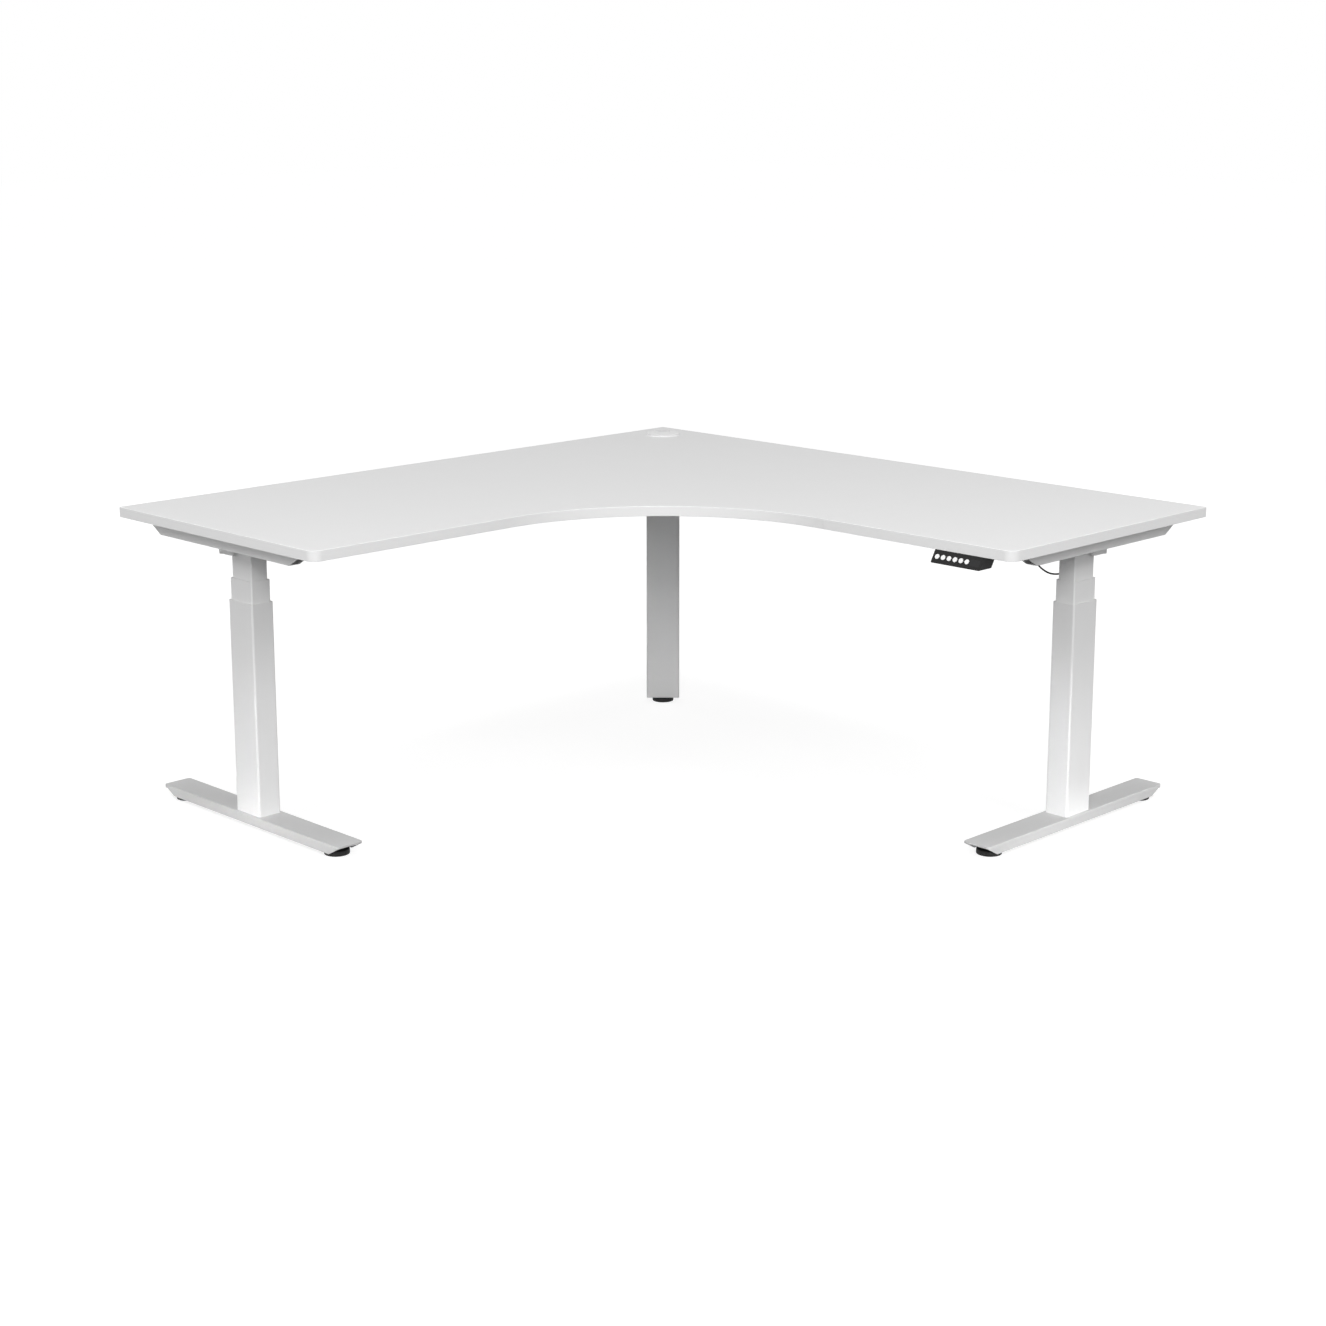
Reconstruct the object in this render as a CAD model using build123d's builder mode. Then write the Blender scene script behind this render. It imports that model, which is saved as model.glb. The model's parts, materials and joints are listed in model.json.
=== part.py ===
from build123d import *

import os
from math import hypot, radians, tan

# Corner standing desk with three telescopic columns, millimetres, +Z up.
# The worktop's square back corner is at (-half, +half); the right wing runs along +X
# and the left wing along -Y.  The origin is on the floor below the middle of the
# worktop's square plan.  A place on the right wing is given as u, its distance from
# the back corner along the wall edge, and v, its distance in from the wall edge.
# The left wing is the right wing mirrored in the plane x + y = 0.

# Worktop
WING_LENGTH = 1800.0
WING_DEPTH = 750.0
TOP_HEIGHT = 712.0
TOP_THICKNESS = 24.0
INNER_RADIUS = 490.0
FRONT_CORNER_RADIUS = 25.0
WALL_CORNER_RADIUS = 4.0
BAND_THICKNESS = 1.5
BAND_ROUND = 1.0
SEAM_FROM_END = 536.0
SEAM_GAP = 0.3
DOWEL_DIAMETER = 8.0
DOWEL_LENGTH = 60.0
DOWEL_CLEARANCE = 0.1
DOWEL_END_GAP = 1.0
DOWEL_COUNT = 5
DOWEL_MARGIN = 90.0
JOINT_PLATE_LENGTH = 160.0
JOINT_PLATE_WIDTH = 60.0
JOINT_PLATE_THICKNESS = 3.0
JOINT_PLATE_COUNT = 3
JOINT_PLATE_MARGIN = 190.0
JOINT_PLATE_CORNER = 9.0
JOINT_PLATE_SCREW_INSET = 13.5

# Cable port
PORT_FROM_WALLS = 108.0
PORT_HOLE = 80.0
PORT_FLANGE = 90.0
PORT_FLANGE_THICKNESS = 3.0
PORT_FLANGE_EDGE = 0.3
PORT_CAP_THICKNESS = 3.2
PORT_CAP_EDGE = 0.8
PORT_WALL = 1.8
PORT_FIT = 0.3
PORT_SPIGOT_DEPTH = 9.0
PORT_SLOT_WIDTH = 40.0
PORT_SLOT_DEPTH = 18.0
PORT_SLOT_CORNER = 6.0

# Columns: three nested tubes, the widest standing on the foot
LEG_FROM_END = 100.0
LEG_FROM_WALL = 375.0
REAR_LEG_FROM_WALLS = 256.0
TUBE_WIDTH = 60.0
TUBE_DEPTH = 90.0
TUBE_CORNER = 5.0
TUBE_WALL = 1.5
STAGE_STEP = 8.0
STAGE_CORNER_STEP = 1.25
MID_SHOWN = 51.0
INNER_SHOWN = 67.0
MID_ABOVE_PLATE = 58.0
INNER_ABOVE_PLUG = 57.0
TUBE_END_PLATE = 5.0
GLIDE_RUN = 0.3
GLIDE_LENGTH = 45.0
GLIDE_SET_BACK = 4.0

# Lifting screws inside the columns
SCREW_DIAMETER = 12.0
SCREW_BELOW_OUTER_TOP = 95.0
SCREW_TIP = 1.5
SCREW_RUN = 0.4
SLEEVE_DIAMETER = 20.0
SLEEVE_BORE = 14.0
SLEEVE_BELOW_GEARBOX = 105.0
SLEEVE_COLLAR = 23.4
SLEEVE_COLLAR_LENGTH = 14.0
SLEEVE_NUT_LENGTH = 24.0
PLUG_THICKNESS = 12.0
PLUG_RIM = 4.0
LIFT_NUT_LENGTH = 15.0
LIFT_NUT_RECESS = 2.0
DRIVE_TUBE_DIAMETER = 30.0
DRIVE_TUBE_BORE = 24.0
DRIVE_TUBE_ABOVE_INNER_END = 20.0

# Column heads: plate, gearbox, motor and its cover, in the column's own frame
BRACKET_WALL = 2.5
HEAD_PLATE_THICKNESS = 3.0
HEAD_PLATE_INBOARD = 230.0
HEAD_PLATE_FRONT = 50.0
HEAD_PLATE_BACK = 87.0
HEAD_PLATE_LIP = 10.0
CORNER_PLATE_BACK = (14.0, 106.0)
CORNER_PLATE_SIDE = (104.0, 56.0)
CORNER_SCREW_NEAR = 78.0
CORNER_SCREW_FAR = 6.0
CORNER_SCREW_FRONT = 114.0
GEARBOX_HEIGHT = 30.5
GEARBOX_WIDTH = 56.0
GEARBOX_DEPTH = 94.0
GEARBOX_ROUND = 8.0
GEARBOX_EDGE = 1.6
GEARBOX_BOSS_WIDTH = 40.0
GEARBOX_BOLT_X = 14.0
GEARBOX_BOLT_Y = 38.0
MOTOR_OFFSET = 34.0
MOTOR_DIAMETER = 36.0
MOTOR_LENGTH = 84.0
MOTOR_FLANGE_DIAMETER = 32.4
MOTOR_FLANGE_THICKNESS = 4.0
MOTOR_NECK_DIAMETER = 27.0
MOTOR_NECK_LENGTH = 10.0
MOTOR_CAP_DIAMETER = 28.8
MOTOR_CAP_STEP = 4.0
MOTOR_BELOW_PLATE = 20.5
COVER_DEPTH = 54.0
COVER_HEIGHT = 42.5
COVER_INBOARD = 130.0
COVER_OUTBOARD = 40.5
COVER_WALL = 2.0
COVER_ROUND = 10.0
COVER_EDGE = 2.5
COVER_NEAR_SIDE = 12.0
COVER_NOTCH_GAP = 4.0
COVER_POST = 9.0
COVER_POST_INSET = 6.0
COVER_SCREW = 4.0
COVER_SCREW_HEAD = 8.0
COVER_SCREW_HEAD_HEIGHT = 2.0
COVER_SCREW_TIP_GAP = 0.5

# Side brackets under the worktop, at the wing ends
BRACKET_FROM_END = 29.0
BRACKET_WIDTH = 30.0
BRACKET_HEIGHT = 28.0
BRACKET_TOP_LENGTH = 586.0
BRACKET_BOTTOM_LENGTH = 494.0
BRACKET_LIP = 11.0
BRACKET_FLANGE = 20.0
BRACKET_FLANGE_END_GAP = 20.0
GASKET_THICKNESS = 2.0
GASKET_WIDTH = 6.0
GASKET_INSET = 1.0
GASKET_END_GAP = 6.0
BRACKET_SCREW_INSETS = (40.0, 130.0)
BRACKET_SCREW_FROM_WALL = 8.5
BRACKET_BOLT_FROM_WALL = 6.5
BRACKET_BOLT_FIRST = -4.0
BRACKET_BOLT_PITCH = 24.0
SPACER_DIAMETER = 18.0

# Crossbeams between the column heads
BEAM_WIDTH = 60.0
BEAM_HEIGHT = 34.0
BEAM_WALL = 2.0
BEAM_FROM_WALL = 320.0
BEAM_START = 430.0
BEAM_LENGTH = 670.0
SLIDE_FIT = 0.3
SLIDE_INSERTED = 200.0
SLIDE_SADDLE_LENGTH = 90.0
BEAM_BOLT_PITCH_ALONG = 45.0
BEAM_BOLT_PITCH_ACROSS = 30.0
BEAM_ROUND = 3.0
SLIDE_TO_COVER = 4.0

# Fasteners
BOLT_DIAMETER = 6.0
BOLT_HEAD = 11.0
BOLT_HEAD_HEIGHT = 3.0
HEAD_ROUND = 0.8
BOLT_LENGTH = 12.0
BOLT_CLEARANCE = 0.2
SCREW_SHANK = 4.5
SCREW_HEAD = 9.0
SCREW_HEAD_HEIGHT = 2.6
SCREW_GRIP = 12.0
SCREW_TIP_GAP = 1.0
HOLE_CLEARANCE = 0.1

# Feet
FOOT_LENGTH = 680.0
FOOT_WIDTH = 72.0
FOOT_CENTRE_FROM_WALL = 379.0
FOOT_TOP = 32.0
FOOT_BAND = 8.5
FOOT_SKIRT_INSET = 2.5
FOOT_SKIRT_BOTTOM = 8.0
FOOT_WALL = 2.5
FOOT_END_LIP = 4.5
FOOT_UNDERCUT = 36.0
FOOT_CORNER = 7.0
FOOT_EDGE = 1.2
REAR_FOOT_BOTTOM = 14.0
PAD_DIAMETER = 58.0
PAD_HEIGHT = 12.0
PAD_ROUND = 3.0
PAD_FOOT_CHAMFER = 1.0
PAD_FROM_END = 49.0
PAD_STUD = 8.0
PAD_STUD_RUN = 0.25
PAD_HUB = 16.0
PAD_HUB_HEIGHT = 2.0
PAD_NUT = 18.0
PAD_NUT_GAP = 0.5
PAD_STUD_TOP_GAP = 3.5
FOOT_BOLT_X = 15.0
FOOT_BOLT_Y = 30.0

# Control box under the right wing
BOX_LENGTH = 200.0
BOX_DEPTH = 90.0
BOX_HEIGHT = 30.0
BOX_FROM_WALL = 485.0
BOX_END_FROM_END = 240.0
BOX_ROUND = 8.0
BOX_EDGE = 2.7
BOX_EAR = 14.0
BOX_EAR_ROOT = 7.0
BOX_EAR_CORNER = 3.5
BOX_EAR_LENGTH = 26.0
BOX_EAR_THICKNESS = 3.0
BOX_EAR_INSET = 30.0
SOCKET_WIDTH = 14.0
SOCKET_HEIGHT = 9.0
SOCKET_DEPTH = 10.0
SOCKET_PITCH = 22.0
SOCKET_COUNT = 3

# Handset under the front edge of the right wing
HANDSET_FROM_END = 210.0
HANDSET_LENGTH = 134.0
HANDSET_DROP = 27.0
HANDSET_LEAN = 16.0
HANDSET_DEPTH = 41.0
HANDSET_ROUND = 3.0
FASCIA_THICKNESS = 2.0
BUTTON_COUNT = 6
BUTTON_PITCH = 16.2
BUTTON_FIRST = 12.4
BUTTON_DIAMETER = 11.4
BUTTON_CLEARANCE = 0.3
BUTTON_PROUD = 1.0
BUTTON_TRAVEL = 0.8
BUTTON_FLANGE = 13.6
BUTTON_FLANGE_THICKNESS = 1.4
BUTTON_STEM = 4.0
BUTTON_STEM_LENGTH = 3.0
BUTTON_GAP = 0.2
POCKET_HEIGHT = 18.0
POCKET_MARGIN = 4.0
DISPLAY_LENGTH = 26.0
DISPLAY_HEIGHT = 15.0
DISPLAY_THICKNESS = 1.0
DISPLAY_FROM_END = 6.0

# Motor lead: it leaves the right motor cover, hangs beside the column and plugs
# into the control box
LEAD_DIAMETER = 4.0
LEAD_ARC_SHARE = 0.45
GLAND_NECK = 9.0
GLAND_NECK_LENGTH = 2.5
GLAND_HEAD = 13.0
GLAND_HEAD_LENGTH = 3.0
GLAND_BOOT = 7.0
GLAND_BOOT_LENGTH = 3.0
PLUG_BODY_LENGTH = 16.0
PLUG_BOOT_LENGTH = 7.0
PLUG_FIT = 0.2
PLUG_CORNER = 1.0
PLUG_SEAT = 8.0
# The lead's corners from the gland to the plug, each as its distances along the wing
# and in from the wall, both from the right column's axis, and its level from the
# worktop's underside
LEAD_ROUTE = [
    (-52, -47, -56),
    (-52, -47, -77),
    (-52, -38, -97),
    (-53, -20, -105),
    (-54, 4, -103.5),
    (-55, 28, -97.5),
    (-55, 52, -85.5),
    (-56, 73, -69.5),
    (-57, 91, -51),
    (-59, 108, -33.5),
    (-64, 127, -21),
    (-78, 146, -15.5),
    (-97, 155, -15),
    (-117, 155, -15),
]

# Levels and places worked out from the sizes above
half = WING_LENGTH / 2
leg_u = WING_LENGTH - LEG_FROM_END
seam_u = WING_LENGTH - SEAM_FROM_END
box_end = WING_LENGTH - BOX_END_FROM_END
handset_start = WING_LENGTH - HANDSET_FROM_END
underside = TOP_HEIGHT - TOP_THICKNESS
bracket_top = underside - GASKET_THICKNESS
bracket_bottom = bracket_top - BRACKET_HEIGHT
plate_top = bracket_top - BRACKET_WALL
plate_bottom = plate_top - HEAD_PLATE_THICKNESS
gearbox_bottom = plate_bottom - GEARBOX_HEIGHT
cover_bottom = plate_bottom - COVER_HEIGHT
motor_level = plate_bottom - MOTOR_BELOW_PLATE
mid_top = gearbox_bottom - INNER_SHOWN
outer_top = mid_top - MID_SHOWN
screw_bottom = FOOT_TOP + TUBE_END_PLATE
mid_bottom = screw_bottom + MID_ABOVE_PLATE
plug_top = mid_bottom + PLUG_THICKNESS - PLUG_RIM
inner_bottom = plug_top + INNER_ABOVE_PLUG
sleeve_top = gearbox_bottom - SLEEVE_BELOW_GEARBOX
glide_thickness = STAGE_STEP / 2 - TUBE_WALL - GLIDE_RUN
bracket_outer = WING_LENGTH - BRACKET_FROM_END
bracket_inner = bracket_outer - BRACKET_WIDTH
cover_far_side = COVER_NEAR_SIDE + COVER_DEPTH
cover_screw_length = COVER_HEIGHT + HEAD_PLATE_THICKNESS - COVER_SCREW_TIP_GAP

os.makedirs("parts", exist_ok=True)


def on_right_wing(u, v):
    """World x and y of the place u along and v in from the right wing's wall edge."""
    return u - half, half - v


def across_wing(v):
    """Upright plane with local x along u and local y up, facing the user."""
    return Plane(origin=(-half, half - v, 0), x_dir=(1, 0, 0), z_dir=(0, -1, 0))


def along_wing(u):
    """Upright plane with local x along v and local y up, facing the back corner."""
    return Plane(origin=(u - half, half, 0), x_dir=(0, -1, 0), z_dir=(-1, 0, 0))


def save(part, node):
    """Label a finished piece and write it to its own STEP file."""
    part.label = node
    export_step(part, f"parts/{node}.step")


DIAGONAL = Plane(origin=(0, 0, 0), z_dir=(1, 1, 0))


def mirrored(part):
    """The left wing's copy of a piece of the right wing."""
    with BuildPart() as twin:
        mirror(part, about=DIAGONAL)
    return twin.part


def joined(parts):
    """One node of several separate solids."""
    with BuildPart() as group:
        for part in parts:
            add(part)
    return group.part


leg_x, leg_y = on_right_wing(leg_u, LEG_FROM_WALL)
rear_x, rear_y = on_right_wing(REAR_LEG_FROM_WALLS, REAR_LEG_FROM_WALLS)
RIGHT_LEG = Plane(origin=(leg_x, leg_y, 0), x_dir=(1, 0, 0), z_dir=(0, 0, 1))
REAR_LEG = Plane(origin=(rear_x, rear_y, 0), x_dir=(-1, 1, 0), z_dir=(0, 0, 1))


def on_all_legs(build):
    """Build a piece on the right, left and rear column, as a dictionary by side."""
    right = build(RIGHT_LEG)
    return {"right": right, "left": mirrored(right), "rear": build(REAR_LEG)}


# ---------------------------------------------------------------- telescopic columns


def stage_size(stage):
    """Width, depth and corner radius of tube 0 (outer), 1 (mid) or 2 (inner)."""
    return (
        TUBE_WIDTH - stage * STAGE_STEP,
        TUBE_DEPTH - stage * STAGE_STEP,
        TUBE_CORNER - stage * STAGE_CORNER_STEP,
    )


def stage_ring(stage, outward, inward):
    """Sketch of a ring that follows a tube's outside, grown and shrunk by two offsets."""
    width, depth, corner = stage_size(stage)
    RectangleRounded(width + 2 * outward, depth + 2 * outward, corner + outward)
    RectangleRounded(
        width - 2 * inward, depth - 2 * inward, corner - inward, mode=Mode.SUBTRACT
    )


def stage_bore(stage, gap=0.0):
    """Sketch that fills a tube's bore, less a gap all round."""
    width, depth, corner = stage_size(stage)
    inward = TUBE_WALL + gap
    RectangleRounded(width - 2 * inward, depth - 2 * inward, corner - TUBE_WALL)


def outer_tube(frame):
    with BuildPart() as tube:
        with BuildSketch(frame.offset(FOOT_TOP)):
            stage_ring(0, 0, TUBE_WALL)
        extrude(amount=outer_top - FOOT_TOP)
        with BuildSketch(frame.offset(FOOT_TOP)):
            stage_bore(0)
            with GridLocations(2 * FOOT_BOLT_X, 2 * FOOT_BOLT_Y, 2, 2):
                Circle(BOLT_DIAMETER / 2 + HOLE_CLEARANCE, mode=Mode.SUBTRACT)
        extrude(amount=TUBE_END_PLATE)
    return tube.part


def mid_tube(frame):
    with BuildPart() as tube:
        with BuildSketch(frame.offset(mid_bottom)):
            stage_ring(1, 0, TUBE_WALL)
        extrude(amount=mid_top - mid_bottom)
    return tube.part


def inner_tube(frame):
    """The top tube, with the threaded lift nut's block welded in its lower end."""
    with BuildPart() as tube:
        with BuildSketch(frame.offset(inner_bottom)):
            stage_ring(2, 0, TUBE_WALL)
        extrude(amount=gearbox_bottom - inner_bottom)
        with BuildSketch(frame.offset(inner_bottom + LIFT_NUT_RECESS)):
            stage_bore(2)
            Circle(SLEEVE_DIAMETER / 2 + SCREW_RUN, mode=Mode.SUBTRACT)
        extrude(amount=LIFT_NUT_LENGTH)
    return tube.part


def inner_glide(frame):
    """Plastic band round the inner tube's lower end, running in the mid tube's bore."""
    with BuildPart() as ring:
        with BuildSketch(frame.offset(inner_bottom + GLIDE_SET_BACK)):
            stage_ring(2, glide_thickness, 0)
        extrude(amount=GLIDE_LENGTH)
    return ring.part


def mouth_ring(frame):
    """Plastic band in the outer tube's mouth, round the mid tube."""
    with BuildPart() as ring:
        with BuildSketch(frame.offset(outer_top - GLIDE_LENGTH)):
            stage_ring(1, STAGE_STEP / 2 - TUBE_WALL, -GLIDE_RUN)
        extrude(amount=GLIDE_LENGTH - BAND_ROUND)
    return ring.part


def base_screw(frame):
    """Fixed screw that stands on the outer tube's end plate."""
    with BuildPart() as screw:
        with BuildSketch(frame.offset(screw_bottom)):
            Circle(SCREW_DIAMETER / 2)
        extrude(amount=outer_top - SCREW_BELOW_OUTER_TOP - screw_bottom)
        chamfer(screw.edges().group_by(Axis.Z)[-1], SCREW_TIP)
    return screw.part


def mid_spindle(frame):
    """Hollow spindle on the end plug that carries the mid tube.

    The plug's skirt wraps the tube's lower end and glides in the outer tube's bore.
    """
    with BuildPart() as spindle:
        with BuildSketch(frame.offset(mid_bottom - PLUG_RIM)):
            width, depth, corner = stage_size(1)
            grown = 2 * glide_thickness
            RectangleRounded(width + grown, depth + grown, corner + glide_thickness)
        extrude(amount=PLUG_RIM)
        with BuildSketch(frame.offset(mid_bottom)):
            stage_ring(1, glide_thickness, 0)
        extrude(amount=GLIDE_LENGTH)
        with BuildSketch(frame.offset(mid_bottom)):
            stage_bore(1, gap=HOLE_CLEARANCE)
        extrude(amount=plug_top - mid_bottom)
        with BuildSketch(frame.offset(mid_bottom)):
            Circle(SLEEVE_DIAMETER / 2)
        extrude(amount=sleeve_top - mid_bottom)
        with BuildSketch(frame.offset(sleeve_top)):
            Circle(SLEEVE_COLLAR / 2)
        extrude(amount=-SLEEVE_COLLAR_LENGTH)
        with BuildSketch(frame.offset(mid_bottom - PLUG_RIM)):
            Circle(SCREW_DIAMETER / 2 + SCREW_RUN)
        extrude(amount=SLEEVE_NUT_LENGTH, mode=Mode.SUBTRACT)
        with BuildSketch(frame.offset(mid_bottom - PLUG_RIM + SLEEVE_NUT_LENGTH)):
            Circle(SLEEVE_BORE / 2)
        extrude(amount=sleeve_top - mid_bottom, mode=Mode.SUBTRACT)
    return spindle.part


def drive_tube(frame):
    """Tube turned by the gearbox; the spindle's collar slides and is driven in it."""
    with BuildPart() as tube:
        with BuildSketch(frame.offset(gearbox_bottom)):
            Circle(DRIVE_TUBE_DIAMETER / 2)
            Circle(DRIVE_TUBE_BORE / 2, mode=Mode.SUBTRACT)
        extrude(amount=inner_bottom + DRIVE_TUBE_ABOVE_INNER_END - gearbox_bottom)
    return tube.part


# ---------------------------------------------------------------------- column heads


def gearbox_bolts():
    """Places of the four bolts that hold the gearbox to its head plate."""
    return GridLocations(2 * GEARBOX_BOLT_X, 2 * GEARBOX_BOLT_Y, 2, 2)


def slide_bolts():
    """Places of the bolts that hold a crossbeam slide to a side head plate."""
    middle = -HEAD_PLATE_INBOARD + SLIDE_SADDLE_LENGTH / 2
    across = LEG_FROM_WALL - BEAM_FROM_WALL
    with Locations((middle, across)):
        return GridLocations(BEAM_BOLT_PITCH_ALONG, BEAM_BOLT_PITCH_ACROSS, 2, 2)


def gearbox(frame):
    """Cast gear case on the inner tube, with a boss for the motor at its side."""
    with BuildPart() as case:
        with BuildSketch(frame.offset(gearbox_bottom)):
            RectangleRounded(GEARBOX_WIDTH, GEARBOX_DEPTH, GEARBOX_ROUND)
            with Locations(((GEARBOX_BOSS_WIDTH - GEARBOX_WIDTH) / 2, MOTOR_OFFSET)):
                RectangleRounded(GEARBOX_BOSS_WIDTH, GEARBOX_BOSS_WIDTH, GEARBOX_ROUND)
        extrude(amount=GEARBOX_HEIGHT)
        chamfer(case.faces().sort_by(Axis.Z)[0].edges(), GEARBOX_EDGE)
        with BuildSketch(frame.offset(plate_bottom)):
            with gearbox_bolts():
                Circle(BOLT_DIAMETER / 2 + HOLE_CLEARANCE)
        extrude(amount=-BOLT_LENGTH, mode=Mode.SUBTRACT)
    return case.part


def motor(frame):
    """Motor lying beside the column, its shaft end against the gearbox boss."""
    axis_start = frame.from_local_coords(
        (-GEARBOX_WIDTH / 2, MOTOR_OFFSET, motor_level)
    )
    section = Plane(origin=axis_start, x_dir=-frame.x_dir, z_dir=frame.y_dir)
    shell, flange = MOTOR_DIAMETER / 2, MOTOR_FLANGE_DIAMETER / 2
    neck, cap = MOTOR_NECK_DIAMETER / 2, MOTOR_CAP_DIAMETER / 2
    cap_start = MOTOR_LENGTH - MOTOR_CAP_STEP
    with BuildPart() as body:
        with BuildSketch(section):
            with BuildLine():
                Polyline(
                    (0, 0),
                    (0, flange),
                    (MOTOR_FLANGE_THICKNESS, flange),
                    (MOTOR_FLANGE_THICKNESS, neck),
                    (MOTOR_NECK_LENGTH, neck),
                    (MOTOR_NECK_LENGTH, shell),
                    (cap_start, shell),
                    (cap_start, cap),
                    (MOTOR_LENGTH, cap),
                    (MOTOR_LENGTH, 0),
                    close=True,
                )
            make_face()
        revolve(axis=Axis(axis_start, -frame.x_dir))
    return body.part


def motor_cover(frame):
    """Trough under the motor, cut away round the column."""
    length = COVER_INBOARD + COVER_OUTBOARD
    middle = ((COVER_OUTBOARD - COVER_INBOARD) / 2, COVER_NEAR_SIDE + COVER_DEPTH / 2)
    inside = COVER_ROUND - COVER_WALL
    notch_side = GEARBOX_WIDTH / 2 + COVER_NOTCH_GAP
    notch_far = GEARBOX_DEPTH / 2 + COVER_NOTCH_GAP
    with BuildPart() as cover:
        with BuildSketch(frame.offset(cover_bottom)):
            with Locations(middle):
                RectangleRounded(length, COVER_DEPTH, COVER_ROUND)
        extrude(amount=COVER_HEIGHT)
        fillet(cover.faces().sort_by(Axis.Z)[0].edges(), COVER_EDGE)
        with BuildSketch(frame.offset(cover_bottom + COVER_WALL)):
            with Locations(middle):
                RectangleRounded(
                    length - 2 * COVER_WALL, COVER_DEPTH - 2 * COVER_WALL, inside
                )
        extrude(amount=COVER_HEIGHT, mode=Mode.SUBTRACT)
        with BuildSketch(frame.offset(cover_bottom)):
            with Locations((0, (COVER_NEAR_SIDE + notch_far) / 2)):
                Rectangle(2 * notch_side, notch_far - COVER_NEAR_SIDE)
        extrude(amount=COVER_HEIGHT, mode=Mode.SUBTRACT)
        with BuildSketch(frame.offset(cover_bottom + COVER_WALL / 2)):
            with Locations(*cover_post_points()):
                Circle(COVER_POST / 2)
        extrude(amount=COVER_HEIGHT - COVER_WALL / 2)
        with BuildSketch(frame.offset(cover_bottom)):
            with Locations(*cover_post_points()):
                Circle(COVER_SCREW / 2 + HOLE_CLEARANCE)
        extrude(amount=COVER_HEIGHT, mode=Mode.SUBTRACT)
    return cover.part


def side_head_plate():
    """Pressed plate that ties gearbox, crossbeam slide and side bracket together."""
    length = HEAD_PLATE_INBOARD + COVER_OUTBOARD
    depth = HEAD_PLATE_FRONT + HEAD_PLATE_BACK
    middle = (length / 2 - HEAD_PLATE_INBOARD, depth / 2 - HEAD_PLATE_FRONT)
    with BuildPart() as plate:
        with BuildSketch(RIGHT_LEG.offset(plate_bottom)):
            with Locations(middle):
                Rectangle(length, depth)
            with gearbox_bolts():
                Circle(BOLT_DIAMETER / 2 + BOLT_CLEARANCE, mode=Mode.SUBTRACT)
            with slide_bolts():
                Circle(BOLT_DIAMETER / 2 + BOLT_CLEARANCE, mode=Mode.SUBTRACT)
            with Locations(*cover_post_points()):
                Circle(COVER_SCREW / 2 + HOLE_CLEARANCE, mode=Mode.SUBTRACT)
        extrude(amount=HEAD_PLATE_THICKNESS)
        with BuildSketch(Plane.XY.offset(plate_bottom)):
            with Locations(*[on_right_wing(u, v) for u, v in bracket_bolt_points()]):
                Circle(BOLT_DIAMETER / 2 + BOLT_CLEARANCE)
        extrude(amount=HEAD_PLATE_THICKNESS, mode=Mode.SUBTRACT)
        with BuildSketch(RIGHT_LEG.offset(plate_bottom)):
            with Locations((middle[0], HEAD_PLATE_THICKNESS / 2 - HEAD_PLATE_FRONT)):
                Rectangle(length, HEAD_PLATE_THICKNESS)
        extrude(amount=-HEAD_PLATE_LIP)
    return plate.part


# Plan of the corner head plate on one side of the desk's diagonal, as (u, v)
plate_edge = BEAM_START + SLIDE_SADDLE_LENGTH
plate_side = BEAM_WIDTH / 2 + BOLT_HEAD / 2
CORNER_PLATE_HALF = [
    (REAR_LEG_FROM_WALLS + CORNER_PLATE_BACK[0], REAR_LEG_FROM_WALLS - CORNER_PLATE_BACK[1]),
    (REAR_LEG_FROM_WALLS + CORNER_PLATE_SIDE[0], REAR_LEG_FROM_WALLS - CORNER_PLATE_SIDE[1]),
    (plate_edge, BEAM_FROM_WALL - plate_side),
    (plate_edge, BEAM_FROM_WALL + plate_side),
    (BEAM_START, BEAM_FROM_WALL + plate_side),
]


def beam_bolts():
    """World places of the bolts that hold the right crossbeam to the corner plate."""
    middle = on_right_wing(BEAM_START + SLIDE_SADDLE_LENGTH / 2, BEAM_FROM_WALL)
    with Locations(middle):
        return GridLocations(BEAM_BOLT_PITCH_ALONG, BEAM_BOLT_PITCH_ACROSS, 2, 2)


def corner_screw_points():
    """Places, as (u, v), of the screws that hold the corner plate to the worktop."""
    near = REAR_LEG_FROM_WALLS - CORNER_SCREW_NEAR
    far = REAR_LEG_FROM_WALLS + CORNER_SCREW_FAR
    front = REAR_LEG_FROM_WALLS + CORNER_SCREW_FRONT
    return [(near, far), (far, near), (front, front)]


def corner_head_plate():
    """Plate over the rear column that both crossbeams are bolted under."""
    outline = CORNER_PLATE_HALF + [(v, u) for u, v in reversed(CORNER_PLATE_HALF)]
    with BuildPart() as plate:
        with BuildSketch(Plane.XY.offset(plate_bottom)):
            with BuildLine():
                Polyline(*[on_right_wing(u, v) for u, v in outline], close=True)
            make_face()
            with Locations(*[on_right_wing(u, v) for u, v in corner_screw_points()]):
                Circle(SCREW_SHANK / 2 + BOLT_CLEARANCE, mode=Mode.SUBTRACT)
        extrude(amount=HEAD_PLATE_THICKNESS)
        with BuildSketch(REAR_LEG.offset(plate_bottom)):
            with gearbox_bolts():
                Circle(BOLT_DIAMETER / 2 + BOLT_CLEARANCE)
            with Locations(*cover_post_points()):
                Circle(COVER_SCREW / 2 + HOLE_CLEARANCE)
        extrude(amount=HEAD_PLATE_THICKNESS, mode=Mode.SUBTRACT)
        with BuildSketch(Plane.XY.offset(plate_bottom)):
            with beam_bolts():
                Circle(BOLT_DIAMETER / 2 + BOLT_CLEARANCE)
            mirror(about=DIAGONAL)
        extrude(amount=HEAD_PLATE_THICKNESS, mode=Mode.SUBTRACT)
    return plate.part


# ------------------------------------------------------- side brackets and crossbeams


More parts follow.
